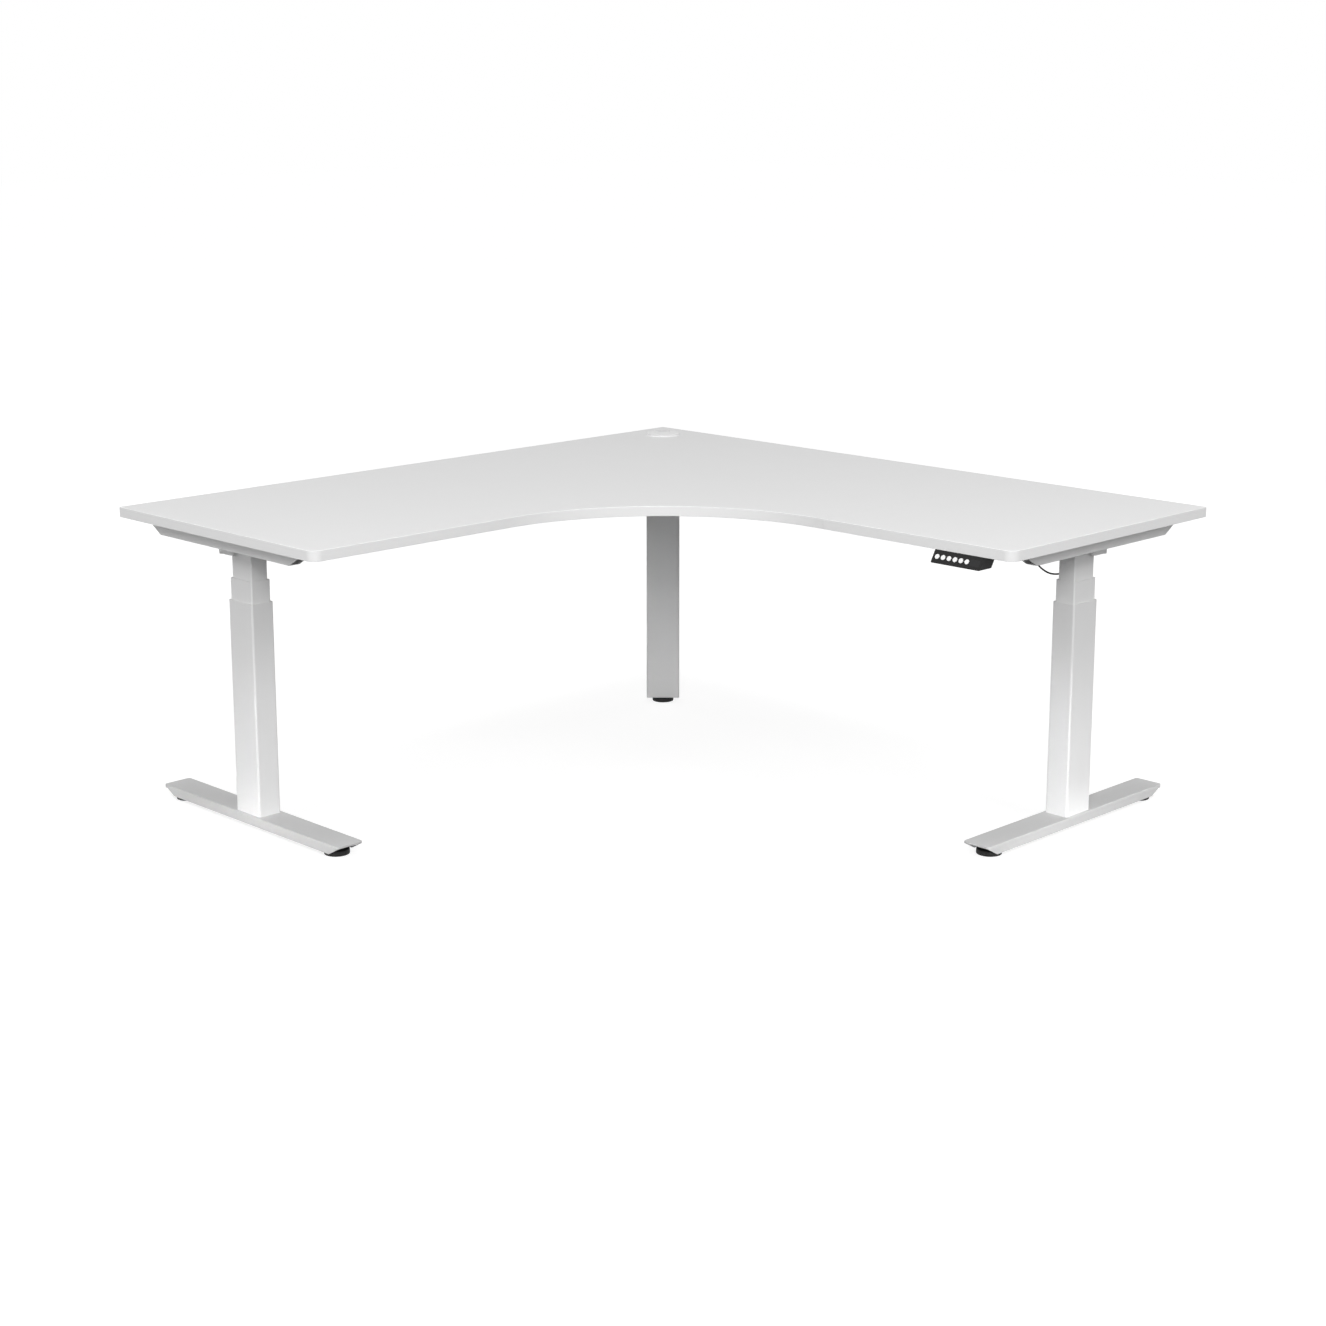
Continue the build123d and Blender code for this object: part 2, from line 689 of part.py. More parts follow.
def side_bracket():
    """Channel under the wing's end: slanted open ends, a lip and a screw flange."""
    middle = LEG_FROM_WALL
    start = middle - BRACKET_TOP_LENGTH / 2
    inner, outer = bracket_inner, bracket_outer
    flange_middle = on_right_wing(inner - BRACKET_FLANGE / 2, middle)
    flange_end = (BRACKET_TOP_LENGTH - BRACKET_FLANGE_END_GAP) / 2
    with BuildPart() as bracket:
        with BuildSketch(across_wing(start)):
            with BuildLine():
                Polyline(
                    (inner - BRACKET_FLANGE, bracket_top),
                    (inner + BRACKET_WALL, bracket_top),
                    (inner + BRACKET_WALL, bracket_bottom + BRACKET_WALL),
                    (outer - BRACKET_WALL, bracket_bottom + BRACKET_WALL),
                    (outer - BRACKET_WALL, bracket_top - BRACKET_WALL),
                    (outer - BRACKET_LIP, bracket_top - BRACKET_WALL),
                    (outer - BRACKET_LIP, bracket_top),
                    (outer, bracket_top),
                    (outer, bracket_bottom),
                    (inner, bracket_bottom),
                    (inner, bracket_top - BRACKET_WALL),
                    (inner - BRACKET_FLANGE, bracket_top - BRACKET_WALL),
                    close=True,
                )
            make_face()
        extrude(amount=BRACKET_TOP_LENGTH)
        with BuildSketch(along_wing(outer + BRACKET_WALL)):
            with BuildLine():
                Polyline(
                    (middle - BRACKET_TOP_LENGTH / 2, bracket_top),
                    (middle + BRACKET_TOP_LENGTH / 2, bracket_top),
                    (middle + BRACKET_BOTTOM_LENGTH / 2, bracket_bottom),
                    (middle - BRACKET_BOTTOM_LENGTH / 2, bracket_bottom),
                    close=True,
                )
            make_face()
        extrude(amount=BRACKET_WIDTH + BRACKET_FLANGE + 2 * BRACKET_WALL, mode=Mode.INTERSECT)
        bends = bracket.edges().filter_by(Axis.Y).group_by(Axis.Z)[0]
        fillet(bends, BRACKET_WALL)
        with BuildSketch(Plane.XY.offset(bracket_top)):
            with Locations(flange_middle):
                with GridLocations(BRACKET_FLANGE, 2 * flange_end, 1, 2):
                    Rectangle(BRACKET_FLANGE, BRACKET_FLANGE_END_GAP)
            with Locations(*[on_right_wing(u, v) for u, v in bracket_screw_points()]):
                Circle(SCREW_SHANK / 2 + BOLT_CLEARANCE)
            with Locations(*[on_right_wing(u, v) for u, v in bracket_bolt_points()]):
                Circle(BOLT_DIAMETER / 2 + HOLE_CLEARANCE)
        extrude(amount=-BRACKET_WALL, mode=Mode.SUBTRACT)
    return bracket.part


def bracket_screw_points():
    """Places, as (u, v), of the wood screws through a side bracket's flange."""
    u = bracket_inner - BRACKET_SCREW_FROM_WALL
    start = LEG_FROM_WALL - BRACKET_TOP_LENGTH / 2
    end = LEG_FROM_WALL + BRACKET_TOP_LENGTH / 2
    first, second = BRACKET_SCREW_INSETS
    return [(u, start + first), (u, start + second), (u, end - second), (u, end - first)]


def bracket_bolt_points():
    """Places, as (u, v), of the bolts from the head plate into the bracket's flange."""
    u = bracket_inner - BRACKET_BOLT_FROM_WALL
    first = LEG_FROM_WALL + BRACKET_BOLT_FIRST
    return [(u, first), (u, first + BRACKET_BOLT_PITCH)]


def bracket_gaskets():
    """Two rubber strips between a side bracket and the worktop."""
    outer_length = BRACKET_TOP_LENGTH - 2 * GASKET_END_GAP
    inner_length = outer_length - 2 * BRACKET_FLANGE_END_GAP
    outer_strip = bracket_outer - GASKET_INSET - GASKET_WIDTH / 2
    inner_strip = bracket_inner - BRACKET_FLANGE + GASKET_INSET + GASKET_WIDTH / 2
    with BuildPart() as strips:
        with BuildSketch(Plane.XY.offset(bracket_top)):
            for u, length in ((outer_strip, outer_length), (inner_strip, inner_length)):
                with Locations(on_right_wing(u, LEG_FROM_WALL)):
                    Rectangle(GASKET_WIDTH, length)
        extrude(amount=GASKET_THICKNESS)
    return strips.part


def corner_spacers():
    """Rubber spacers between the corner head plate and the worktop."""
    with BuildPart() as spacers:
        with BuildSketch(Plane.XY.offset(plate_top)):
            with Locations(*[on_right_wing(u, v) for u, v in corner_screw_points()]):
                Circle(SPACER_DIAMETER / 2)
                Circle(SCREW_SHANK / 2 + BOLT_CLEARANCE, mode=Mode.SUBTRACT)
        extrude(amount=underside - plate_top)
    return spacers.part


beam_end = BEAM_START + BEAM_LENGTH
slide_start = beam_end - SLIDE_INSERTED
slide_end = leg_u - COVER_INBOARD - SLIDE_TO_COVER
slide_width = BEAM_WIDTH - 2 * BEAM_WALL - 2 * SLIDE_FIT
slide_height = BEAM_HEIGHT - 2 * BEAM_WALL - 2 * SLIDE_FIT
beam_level = plate_bottom - BEAM_HEIGHT / 2


def box_tube(start, end, width, height, corner):
    """Square-cornered tube along the right wing, centred on the crossbeam's line."""
    section = along_wing(start)
    with BuildPart() as tube:
        with BuildSketch(section):
            with Locations((BEAM_FROM_WALL, beam_level)):
                RectangleRounded(width, height, corner)
                RectangleRounded(
                    width - 2 * BEAM_WALL,
                    height - 2 * BEAM_WALL,
                    corner - BEAM_WALL / 2,
                    mode=Mode.SUBTRACT,
                )
        extrude(amount=start - end)
    return tube.part


def crossbeam():
    with BuildPart() as beam:
        add(box_tube(BEAM_START, beam_end, BEAM_WIDTH, BEAM_HEIGHT, BEAM_ROUND))
        with BuildSketch(Plane.XY.offset(plate_bottom)):
            with beam_bolts():
                Circle(BOLT_DIAMETER / 2 + HOLE_CLEARANCE)
        extrude(amount=-2 * BEAM_WALL, mode=Mode.SUBTRACT)
    return beam.part


def crossbeam_slide():
    """Inner tube of a crossbeam, with the saddle that seats it on the head plate."""
    slide_top = beam_level + slide_height / 2
    saddle_middle = on_right_wing(slide_end - SLIDE_SADDLE_LENGTH / 2, BEAM_FROM_WALL)
    with BuildPart() as slide:
        add(box_tube(slide_start, slide_end, slide_width, slide_height, BEAM_ROUND - SLIDE_FIT))
        with BuildSketch(Plane.XY.offset(plate_bottom)):
            with Locations(saddle_middle):
                Rectangle(SLIDE_SADDLE_LENGTH, slide_width - 2 * BEAM_ROUND)
        extrude(amount=slide_top - plate_bottom - BEAM_WALL / 2)
        with BuildSketch(RIGHT_LEG.offset(plate_bottom)):
            with slide_bolts():
                Circle(BOLT_DIAMETER / 2 + HOLE_CLEARANCE)
        extrude(amount=slide_top - plate_bottom - 2 * BEAM_WALL, mode=Mode.SUBTRACT)
    return slide.part


# ------------------------------------------------------------------------- fasteners


def bolt(head_diameter, head_height, shank_diameter, shank_length):
    """A fastener with its head's underside at z = 0 and its shank pointing down."""
    with BuildPart() as piece:
        with BuildSketch():
            Circle(head_diameter / 2)
        extrude(amount=head_height)
        fillet(piece.edges().group_by(Axis.Z)[-1], HEAD_ROUND)
        with BuildSketch():
            Circle(shank_diameter / 2)
        extrude(amount=-shank_length)
    return piece.part


FRAME_BOLT = bolt(BOLT_HEAD, BOLT_HEAD_HEIGHT, BOLT_DIAMETER, BOLT_LENGTH)
BRACKET_BOLT = bolt(
    BOLT_HEAD, BOLT_HEAD_HEIGHT, BOLT_DIAMETER, HEAD_PLATE_THICKNESS + BRACKET_WALL
)
COVER_FIXING = bolt(
    COVER_SCREW_HEAD, COVER_SCREW_HEAD_HEIGHT, COVER_SCREW, cover_screw_length
)


def placed(piece, plane, points, level, flip=False):
    """Copies of a fastener with their head seats at the given level of a plane."""
    turn = (180, 0, 0) if flip else (0, 0, 0)
    spots = [plane.location * Location((x, y, level), turn) for x, y in points]
    return [piece.moved(spot) for spot in spots]


def grid_points(locations):
    """Plain x, y pairs of a pattern of locations."""
    return [(spot.position.X, spot.position.Y) for spot in locations.local_locations]


def side_frame_bolts():
    """Bolts of the right column head: gearbox, crossbeam slide, bracket and cover."""
    bracket_points = [on_right_wing(u, v) for u, v in bracket_bolt_points()]
    return (
        placed(FRAME_BOLT, RIGHT_LEG, grid_points(gearbox_bolts()), plate_top)
        + placed(FRAME_BOLT, RIGHT_LEG, grid_points(slide_bolts()), plate_top)
        + placed(BRACKET_BOLT, Plane.XY, bracket_points, plate_bottom, flip=True)
        + cover_screws(RIGHT_LEG)
    )


def cover_post_points():
    """Places, in a column's frame, of the two posts that carry a motor cover."""
    far = cover_far_side - COVER_POST_INSET
    return [(COVER_POST_INSET - COVER_INBOARD, far), (COVER_OUTBOARD - COVER_POST_INSET, far)]


def cover_screws(frame):
    return placed(COVER_FIXING, frame, cover_post_points(), cover_bottom, flip=True)


def frame_bolts():
    """Every bolt of the under-frame, as one node of separate solids."""
    side = side_frame_bolts()
    beam = placed(FRAME_BOLT, Plane.XY, grid_points(beam_bolts()), plate_top)
    rear = placed(FRAME_BOLT, REAR_LEG, grid_points(gearbox_bolts()), plate_top)
    right = joined(side + beam)
    return joined([right, mirrored(right)] + rear + cover_screws(REAR_LEG))


# -------------------------------------------------------------------------- worktop


def top_outline(inset):
    """Sketch of the worktop's plan, drawn in by an inset all round."""
    edge, front = half - inset, WING_DEPTH - half - inset
    with BuildLine() as outline:
        Polyline(
            (inset - half, edge),
            (edge, edge),
            (edge, -front),
            (front, -front),
            (front, -edge),
            (inset - half, -edge),
            close=True,
        )
    make_face(outline.edges())
    rounds = [
        ((front, -front), INNER_RADIUS + inset),
        ((edge, -front), FRONT_CORNER_RADIUS - inset),
        ((front, -edge), FRONT_CORNER_RADIUS - inset),
        ((edge, edge), WALL_CORNER_RADIUS - inset),
        ((-edge, edge), WALL_CORNER_RADIUS - inset),
        ((-edge, -edge), WALL_CORNER_RADIUS - inset),
    ]
    for (x, y), radius in rounds:
        fillet(vertices().sort_by_distance((x, y, 0))[0], radius)


def side_of_seam(beyond):
    """Sketch of everything on one side of the seam across the right wing."""
    seam = seam_u - half + (SEAM_GAP if beyond else -SEAM_GAP) / 2
    with Locations((seam, 0)):
        Rectangle(
            2 * WING_LENGTH,
            2 * WING_LENGTH,
            align=(Align.MIN if beyond else Align.MAX, Align.CENTER),
            mode=Mode.INTERSECT,
        )


def seam_pattern(count, margin):
    """Distances in from the wall edge, spread evenly along the seam."""
    step = (WING_DEPTH - 2 * margin) / (count - 1)
    return [margin + step * i for i in range(count)]


def all_screw_points():
    """World places of every wood screw, split by the panel they go into."""
    right = [on_right_wing(u, v) for u, v in bracket_screw_points()]
    left = [(-y, -x) for x, y in right]
    corner = [on_right_wing(u, v) for u, v in corner_screw_points()]
    ears = [on_right_wing(u, v) for u, v in box_ear_points()]
    plates = [on_right_wing(u, v) for u, v in joint_plate_screw_points()]
    seam = seam_u - half
    return {
        "flange": right + left,
        "corner": corner,
        "ears": ears,
        "plates": plates,
        "in_corner_panel": left + corner + [p for p in plates if p[0] < seam],
        "in_extension": right + ears + [p for p in plates if p[0] > seam],
    }


def joint_plate_screw_points():
    """Places, as (u, v), of the screws through the plates under the seam."""
    side = JOINT_PLATE_LENGTH / 2 - JOINT_PLATE_SCREW_INSET
    return [
        (seam_u + sign * side, v)
        for v in seam_pattern(JOINT_PLATE_COUNT, JOINT_PLATE_MARGIN)
        for sign in (-1, 1)
    ]


def panel(beyond, screw_points):
    """Chipboard core of one worktop panel, with its dowel and screw holes."""
    direction = 1 if beyond else -1
    with BuildPart() as core:
        with BuildSketch(Plane.XY.offset(underside)):
            top_outline(BAND_THICKNESS)
            side_of_seam(beyond)
        extrude(amount=TOP_THICKNESS)
        with BuildSketch(along_wing(seam_u)):
            for v in seam_pattern(DOWEL_COUNT, DOWEL_MARGIN):
                with Locations((v, underside + TOP_THICKNESS / 2)):
                    Circle(DOWEL_DIAMETER / 2 + DOWEL_CLEARANCE)
        extrude(amount=-direction * (DOWEL_LENGTH / 2 + DOWEL_END_GAP), mode=Mode.SUBTRACT)
        with BuildSketch(Plane.XY.offset(underside)):
            with Locations(*screw_points):
                Circle(SCREW_SHANK / 2 + HOLE_CLEARANCE)
        extrude(amount=SCREW_GRIP, mode=Mode.SUBTRACT)
        if not beyond:
            with BuildSketch(Plane.XY.offset(underside)):
                with Locations(on_right_wing(PORT_FROM_WALLS, PORT_FROM_WALLS)):
                    Circle(PORT_HOLE / 2)
            extrude(amount=TOP_THICKNESS, mode=Mode.SUBTRACT)
    return core.part


def edge_band(beyond):
    """Plastic edge band round one panel, with its long edges rounded over."""
    with BuildPart() as band:
        with BuildSketch(Plane.XY.offset(underside)):
            top_outline(0)
            side_of_seam(beyond)
        extrude(amount=TOP_THICKNESS)
        seam = seam_u - half
        flat_edges = band.edges().group_by(Axis.Z)[0] + band.edges().group_by(Axis.Z)[-1]
        rounded = [e for e in flat_edges if abs((e @ 0.5).X - seam) > SEAM_GAP]
        fillet(rounded, BAND_ROUND)
        with BuildSketch(Plane.XY.offset(underside)):
            top_outline(BAND_THICKNESS)
            side_of_seam(beyond)
        extrude(amount=TOP_THICKNESS, mode=Mode.SUBTRACT)
    return band.part


def panel_dowels():
    with BuildPart() as dowels:
        with BuildSketch(along_wing(seam_u + DOWEL_LENGTH / 2)):
            for v in seam_pattern(DOWEL_COUNT, DOWEL_MARGIN):
                with Locations((v, underside + TOP_THICKNESS / 2)):
                    Circle(DOWEL_DIAMETER / 2)
        extrude(amount=DOWEL_LENGTH)
    return dowels.part


def joint_plates():
    """Steel plates screwed under the seam."""
    seam_x = seam_u - half
    with BuildPart() as plates:
        with BuildSketch(Plane.XY.offset(underside)):
            for v in seam_pattern(JOINT_PLATE_COUNT, JOINT_PLATE_MARGIN):
                with Locations((seam_x, half - v)):
                    RectangleRounded(JOINT_PLATE_LENGTH, JOINT_PLATE_WIDTH, JOINT_PLATE_CORNER)
            with Locations(*all_screw_points()["plates"]):
                Circle(SCREW_SHANK / 2 + BOLT_CLEARANCE, mode=Mode.SUBTRACT)
        extrude(amount=-JOINT_PLATE_THICKNESS)
    return plates.part


def worktop_screws():
    """Every wood screw that goes up into the worktop, as one node."""
    points = all_screw_points()
    seats = (
        ("flange", bracket_top - BRACKET_WALL),
        ("corner", plate_bottom),
        ("ears", underside - BOX_EAR_THICKNESS),
        ("plates", underside - JOINT_PLATE_THICKNESS),
    )
    screws = []
    for group, seat in seats:
        length = underside - seat + SCREW_GRIP - SCREW_TIP_GAP
        screw = bolt(SCREW_HEAD, SCREW_HEAD_HEIGHT, SCREW_SHANK, length)
        screws += placed(screw, Plane.XY, points[group], seat, flip=True)
    return joined(screws)


# ----------------------------------------------------------------------- cable port

PORT_CENTRE = Plane(
    origin=(*on_right_wing(PORT_FROM_WALLS, PORT_FROM_WALLS), TOP_HEIGHT),
    x_dir=(-1, 1, 0),
    z_dir=(0, 0, 1),
)


def port_liner():
    """Flanged sleeve that lines the cable port."""
    with BuildPart() as liner:
        with BuildSketch(PORT_CENTRE):
            Circle(PORT_FLANGE / 2)
        extrude(amount=PORT_FLANGE_THICKNESS)
        fillet(liner.edges().group_by(Axis.Z)[-1], PORT_FLANGE_EDGE)
        with BuildSketch(PORT_CENTRE):
            Circle(PORT_HOLE / 2 - PORT_FIT)
        extrude(amount=-TOP_THICKNESS)
        with BuildSketch(PORT_CENTRE.offset(-TOP_THICKNESS)):
            Circle(PORT_HOLE / 2 - PORT_FIT - PORT_WALL)
        extrude(amount=TOP_THICKNESS + PORT_FLANGE_THICKNESS, mode=Mode.SUBTRACT)
    return liner.part


def port_cap():
    """Turning cap with a cable slot at its wall side."""
    spigot = PORT_HOLE / 2 - PORT_WALL - 2 * PORT_FIT
    with BuildPart() as cap:
        with BuildSketch(PORT_CENTRE.offset(PORT_FLANGE_THICKNESS)):
            Circle(PORT_FLANGE / 2)
        extrude(amount=PORT_CAP_THICKNESS)
        fillet(cap.edges().group_by(Axis.Z)[-1], PORT_CAP_EDGE)
        with BuildSketch(PORT_CENTRE.offset(PORT_FLANGE_THICKNESS)):
            Circle(spigot)
            Circle(spigot - PORT_WALL, mode=Mode.SUBTRACT)
        extrude(amount=-PORT_SPIGOT_DEPTH)
        slot_middle = spigot - PORT_SLOT_DEPTH / 2
        with BuildSketch(PORT_CENTRE.offset(-PORT_SPIGOT_DEPTH)):
            with Locations((slot_middle, 0)):
                RectangleRounded(PORT_SLOT_DEPTH, PORT_SLOT_WIDTH, PORT_SLOT_CORNER)
        extrude(amount=TOP_THICKNESS, mode=Mode.SUBTRACT)
    return cap.part


# ----------------------------------------------------------------------------- feet


def foot_pad_points():
    """Places, as (u, v), of the two levelling pads under the right foot."""
    reach = FOOT_LENGTH / 2 - PAD_FROM_END
    return [
        (leg_u, FOOT_CENTRE_FROM_WALL - reach),
        (leg_u, FOOT_CENTRE_FROM_WALL + reach),
    ]


def foot():
    """Pressed channel with a full-width band, an inset skirt and undercut ends."""
    start = FOOT_CENTRE_FROM_WALL - FOOT_LENGTH / 2
    end = start + FOOT_LENGTH
    lip_bottom = FOOT_TOP - FOOT_END_LIP
    centre = on_right_wing(leg_u, FOOT_CENTRE_FROM_WALL)
    skirt_width = FOOT_WIDTH - 2 * FOOT_SKIRT_INSET
    with BuildPart() as body:
        with BuildSketch(Plane.XY.offset(FOOT_TOP - FOOT_BAND)):
            with Locations(centre):
                RectangleRounded(FOOT_WIDTH, FOOT_LENGTH, FOOT_CORNER)
        extrude(amount=FOOT_BAND)
        fillet(body.edges().group_by(Axis.Z)[-1], FOOT_EDGE)
        with BuildSketch(Plane.XY.offset(FOOT_SKIRT_BOTTOM)):
            with Locations(centre):
                Rectangle(skirt_width, FOOT_LENGTH)
        extrude(amount=FOOT_TOP - FOOT_BAND - FOOT_SKIRT_BOTTOM)
        with BuildSketch(along_wing(leg_u + FOOT_WIDTH)):
            with BuildLine():
                Polyline(
                    (start, FOOT_TOP + FOOT_BAND),
                    (end, FOOT_TOP + FOOT_BAND),
                    (end, lip_bottom),
                    (end - FOOT_UNDERCUT, FOOT_SKIRT_BOTTOM),
                    (start + FOOT_UNDERCUT, FOOT_SKIRT_BOTTOM),
                    (start, lip_bottom),
                    close=True,
                )
            make_face()
        extrude(amount=2 * FOOT_WIDTH, mode=Mode.INTERSECT)
        with BuildSketch(Plane.XY.offset(FOOT_SKIRT_BOTTOM)):
            with Locations(centre):
                Rectangle(skirt_width - 2 * FOOT_WALL, FOOT_LENGTH - 2 * FOOT_WALL)
        extrude(amount=FOOT_TOP - FOOT_WALL - FOOT_SKIRT_BOTTOM, mode=Mode.SUBTRACT)
        with BuildSketch(Plane.XY.offset(FOOT_TOP - FOOT_WALL)):
            with Locations(*[on_right_wing(u, v) for u, v in foot_pad_points()]):
                RegularPolygon(PAD_NUT / 2, 6)
        extrude(amount=PAD_NUT_GAP + PAD_HEIGHT + PAD_HUB_HEIGHT - FOOT_TOP + FOOT_WALL)
        with BuildSketch(Plane.XY.offset(PAD_HEIGHT)):
            with Locations(*[on_right_wing(u, v) for u, v in foot_pad_points()]):
                Circle(PAD_STUD / 2 + PAD_STUD_RUN)
        extrude(amount=FOOT_TOP - FOOT_WALL - PAD_HEIGHT, mode=Mode.SUBTRACT)
        with BuildSketch(RIGHT_LEG.offset(FOOT_TOP)):
            with GridLocations(2 * FOOT_BOLT_X, 2 * FOOT_BOLT_Y, 2, 2):
                Circle(BOLT_DIAMETER / 2 + BOLT_CLEARANCE)
        extrude(amount=-FOOT_WALL, mode=Mode.SUBTRACT)
    return body.part


def rear_foot():
    """Cap at the bottom of the rear column, threaded for its one levelling pad."""
    width, depth, corner = stage_size(0)
    nut_bottom = PAD_HEIGHT + PAD_HUB_HEIGHT + PAD_NUT_GAP
    with BuildPart() as cap:
        with BuildSketch(REAR_LEG.offset(REAR_FOOT_BOTTOM)):
            RectangleRounded(width, depth, corner)
        extrude(amount=FOOT_TOP - REAR_FOOT_BOTTOM)
        fillet(cap.edges().group_by(Axis.Z)[0], FOOT_EDGE)
        with BuildSketch(REAR_LEG.offset(REAR_FOOT_BOTTOM)):
            stage_bore(0)
            Circle(PAD_NUT / 2, mode=Mode.SUBTRACT)
        extrude(amount=FOOT_TOP - FOOT_WALL - REAR_FOOT_BOTTOM, mode=Mode.SUBTRACT)
        with BuildSketch(REAR_LEG.offset(REAR_FOOT_BOTTOM)):
            Circle(PAD_NUT / 2)
        extrude(amount=nut_bottom - REAR_FOOT_BOTTOM, mode=Mode.SUBTRACT)
        with BuildSketch(REAR_LEG.offset(REAR_FOOT_BOTTOM)):
            Circle(PAD_STUD / 2 + PAD_STUD_RUN)
        extrude(amount=FOOT_TOP - FOOT_WALL - REAR_FOOT_BOTTOM, mode=Mode.SUBTRACT)
        with BuildSketch(REAR_LEG.offset(FOOT_TOP)):
            with GridLocations(2 * FOOT_BOLT_X, 2 * FOOT_BOLT_Y, 2, 2):
                Circle(BOLT_DIAMETER / 2 + BOLT_CLEARANCE)
        extrude(amount=-FOOT_WALL, mode=Mode.SUBTRACT)
    return cap.part


def levelling_pad(x, y):
    """Threaded stud on a round plastic pad."""
    stud_top = FOOT_TOP - FOOT_WALL - PAD_STUD_TOP_GAP
    section = Plane(origin=(x, y, 0), x_dir=(1, 0, 0), z_dir=(0, -1, 0))
    with BuildPart() as pad:
        with BuildSketch(section):
            with BuildLine():
                rim = PAD_DIAMETER / 2
                Line((0, 0), (rim - PAD_FOOT_CHAMFER, 0))
                Line((rim - PAD_FOOT_CHAMFER, 0), (rim, PAD_FOOT_CHAMFER))
                Line((rim, PAD_FOOT_CHAMFER), (rim, PAD_HEIGHT - PAD_ROUND))
                RadiusArc(
                    (rim, PAD_HEIGHT - PAD_ROUND), (rim - PAD_ROUND, PAD_HEIGHT), -PAD_ROUND
                )
                Polyline(
                    (rim - PAD_ROUND, PAD_HEIGHT),
                    (PAD_HUB / 2, PAD_HEIGHT),
                    (PAD_HUB / 2, PAD_HEIGHT + PAD_HUB_HEIGHT),
                    (PAD_STUD / 2, PAD_HEIGHT + PAD_HUB_HEIGHT),
                    (PAD_STUD / 2, stud_top),
                    (0, stud_top),
                    (0, 0),
                )
            make_face()
        revolve(axis=Axis((x, y, 0), (0, 0, 1)))
    return pad.part


def foot_bolts(frame):
    """Bolts up through a foot into the outer tube's end plate."""
    with BuildPart() as bolts:
        points = [(x, y) for x in (-FOOT_BOLT_X, FOOT_BOLT_X) for y in (-FOOT_BOLT_Y, FOOT_BOLT_Y)]
        short_bolt = bolt(
            BOLT_HEAD, BOLT_HEAD_HEIGHT, BOLT_DIAMETER, FOOT_WALL + TUBE_END_PLATE
        )
        for piece in placed(short_bolt, frame, points, FOOT_TOP - FOOT_WALL, flip=True):
            add(piece)
    return bolts.part


# ---------------------------------------------------------------------- control box


def box_ear_points():
    """Places, as (u, v), of the screws through the control box's four ears."""
    left = box_end - BOX_LENGTH + BOX_EAR_INSET
    right = box_end - BOX_EAR_INSET
    near = BOX_FROM_WALL - BOX_EAR / 2
    far = BOX_FROM_WALL + BOX_DEPTH + BOX_EAR / 2
    return [(left, near), (right, near), (left, far), (right, far)]


def socket_level():
    """Height of the middle of the control box's sockets."""
    return underside - BOX_HEIGHT / 2


def socket_places():
    """Distances in from the wall edge of the sockets in the control box's end."""
    middle = BOX_FROM_WALL + BOX_DEPTH / 2
    return [middle + (i - (SOCKET_COUNT - 1) / 2) * SOCKET_PITCH for i in range(SOCKET_COUNT)]


def control_box():
    middle_u = box_end - BOX_LENGTH / 2
    middle = on_right_wing(middle_u, BOX_FROM_WALL + BOX_DEPTH / 2)
    with BuildPart() as box:
        with BuildSketch(Plane.XY.offset(underside)):
            with Locations(middle):
                RectangleRounded(BOX_LENGTH, BOX_DEPTH, BOX_ROUND)
        extrude(amount=-BOX_HEIGHT)
        fillet(box.edges().group_by(Axis.Z)[0], BOX_EDGE)
        with BuildSketch(Plane.XY.offset(underside)):
            for u, v in box_ear_points():
                inward = BOX_EAR_ROOT / 2 if v < BOX_FROM_WALL else -BOX_EAR_ROOT / 2
                with Locations(on_right_wing(u, v + inward)):
                    RectangleRounded(BOX_EAR_LENGTH, BOX_EAR + BOX_EAR_ROOT, BOX_EAR_CORNER)
        extrude(amount=-BOX_EAR_THICKNESS)
        with BuildSketch(Plane.XY.offset(underside)):
            with Locations(*[on_right_wing(u, v) for u, v in box_ear_points()]):
                Circle(SCREW_SHANK / 2 + BOLT_CLEARANCE)
        extrude(amount=-BOX_EAR_THICKNESS, mode=Mode.SUBTRACT)
        with BuildSketch(along_wing(box_end)):
            for v in socket_places():
                with Locations((v, socket_level())):
                    Rectangle(SOCKET_WIDTH, SOCKET_HEIGHT)
        extrude(amount=SOCKET_DEPTH, mode=Mode.SUBTRACT)
    return box.part


# -------------------------------------------------------------------------- handset

face_height = hypot(HANDSET_DROP, HANDSET_LEAN)
face_normal = (0, -HANDSET_DROP, HANDSET_LEAN)
handset_x, handset_y = on_right_wing(handset_start, WING_DEPTH)
# Middle of the sloping face: local x runs along the wing and local y up the face
HANDSET_FACE = Plane(
    origin=(
        handset_x + HANDSET_LENGTH / 2,
        handset_y - HANDSET_LEAN / 2,
        underside - HANDSET_DROP / 2,
    ),
    x_dir=(1, 0, 0),
    z_dir=face_normal,
)


def handset_block():
    """Outer form of the handset: a leaning prism with rounded ends."""
    front = WING_DEPTH
    with BuildPart() as block:
        with BuildSketch(along_wing(handset_start)):
            with BuildLine():
                Polyline(
                    (front, underside),
                    (front + HANDSET_LEAN, underside - HANDSET_DROP),
                    (front + HANDSET_LEAN - HANDSET_DEPTH, underside - HANDSET_DROP),
                    (front - HANDSET_DEPTH, underside),
                    close=True,
                )
            make_face()
        extrude(amount=-HANDSET_LENGTH)
        bottom = block.faces().sort_by(Axis.Z)[0].edges()
        fillet(bottom.filter_by(Axis.Y) + [bottom.sort_by(Axis.Y)[-1]], HANDSET_ROUND)
    return block.part


def button_points():
    """Places of the six buttons on the handset's face."""
    first = BUTTON_FIRST - HANDSET_LENGTH / 2
    return [(first + i * BUTTON_PITCH, 0) for i in range(BUTTON_COUNT)]


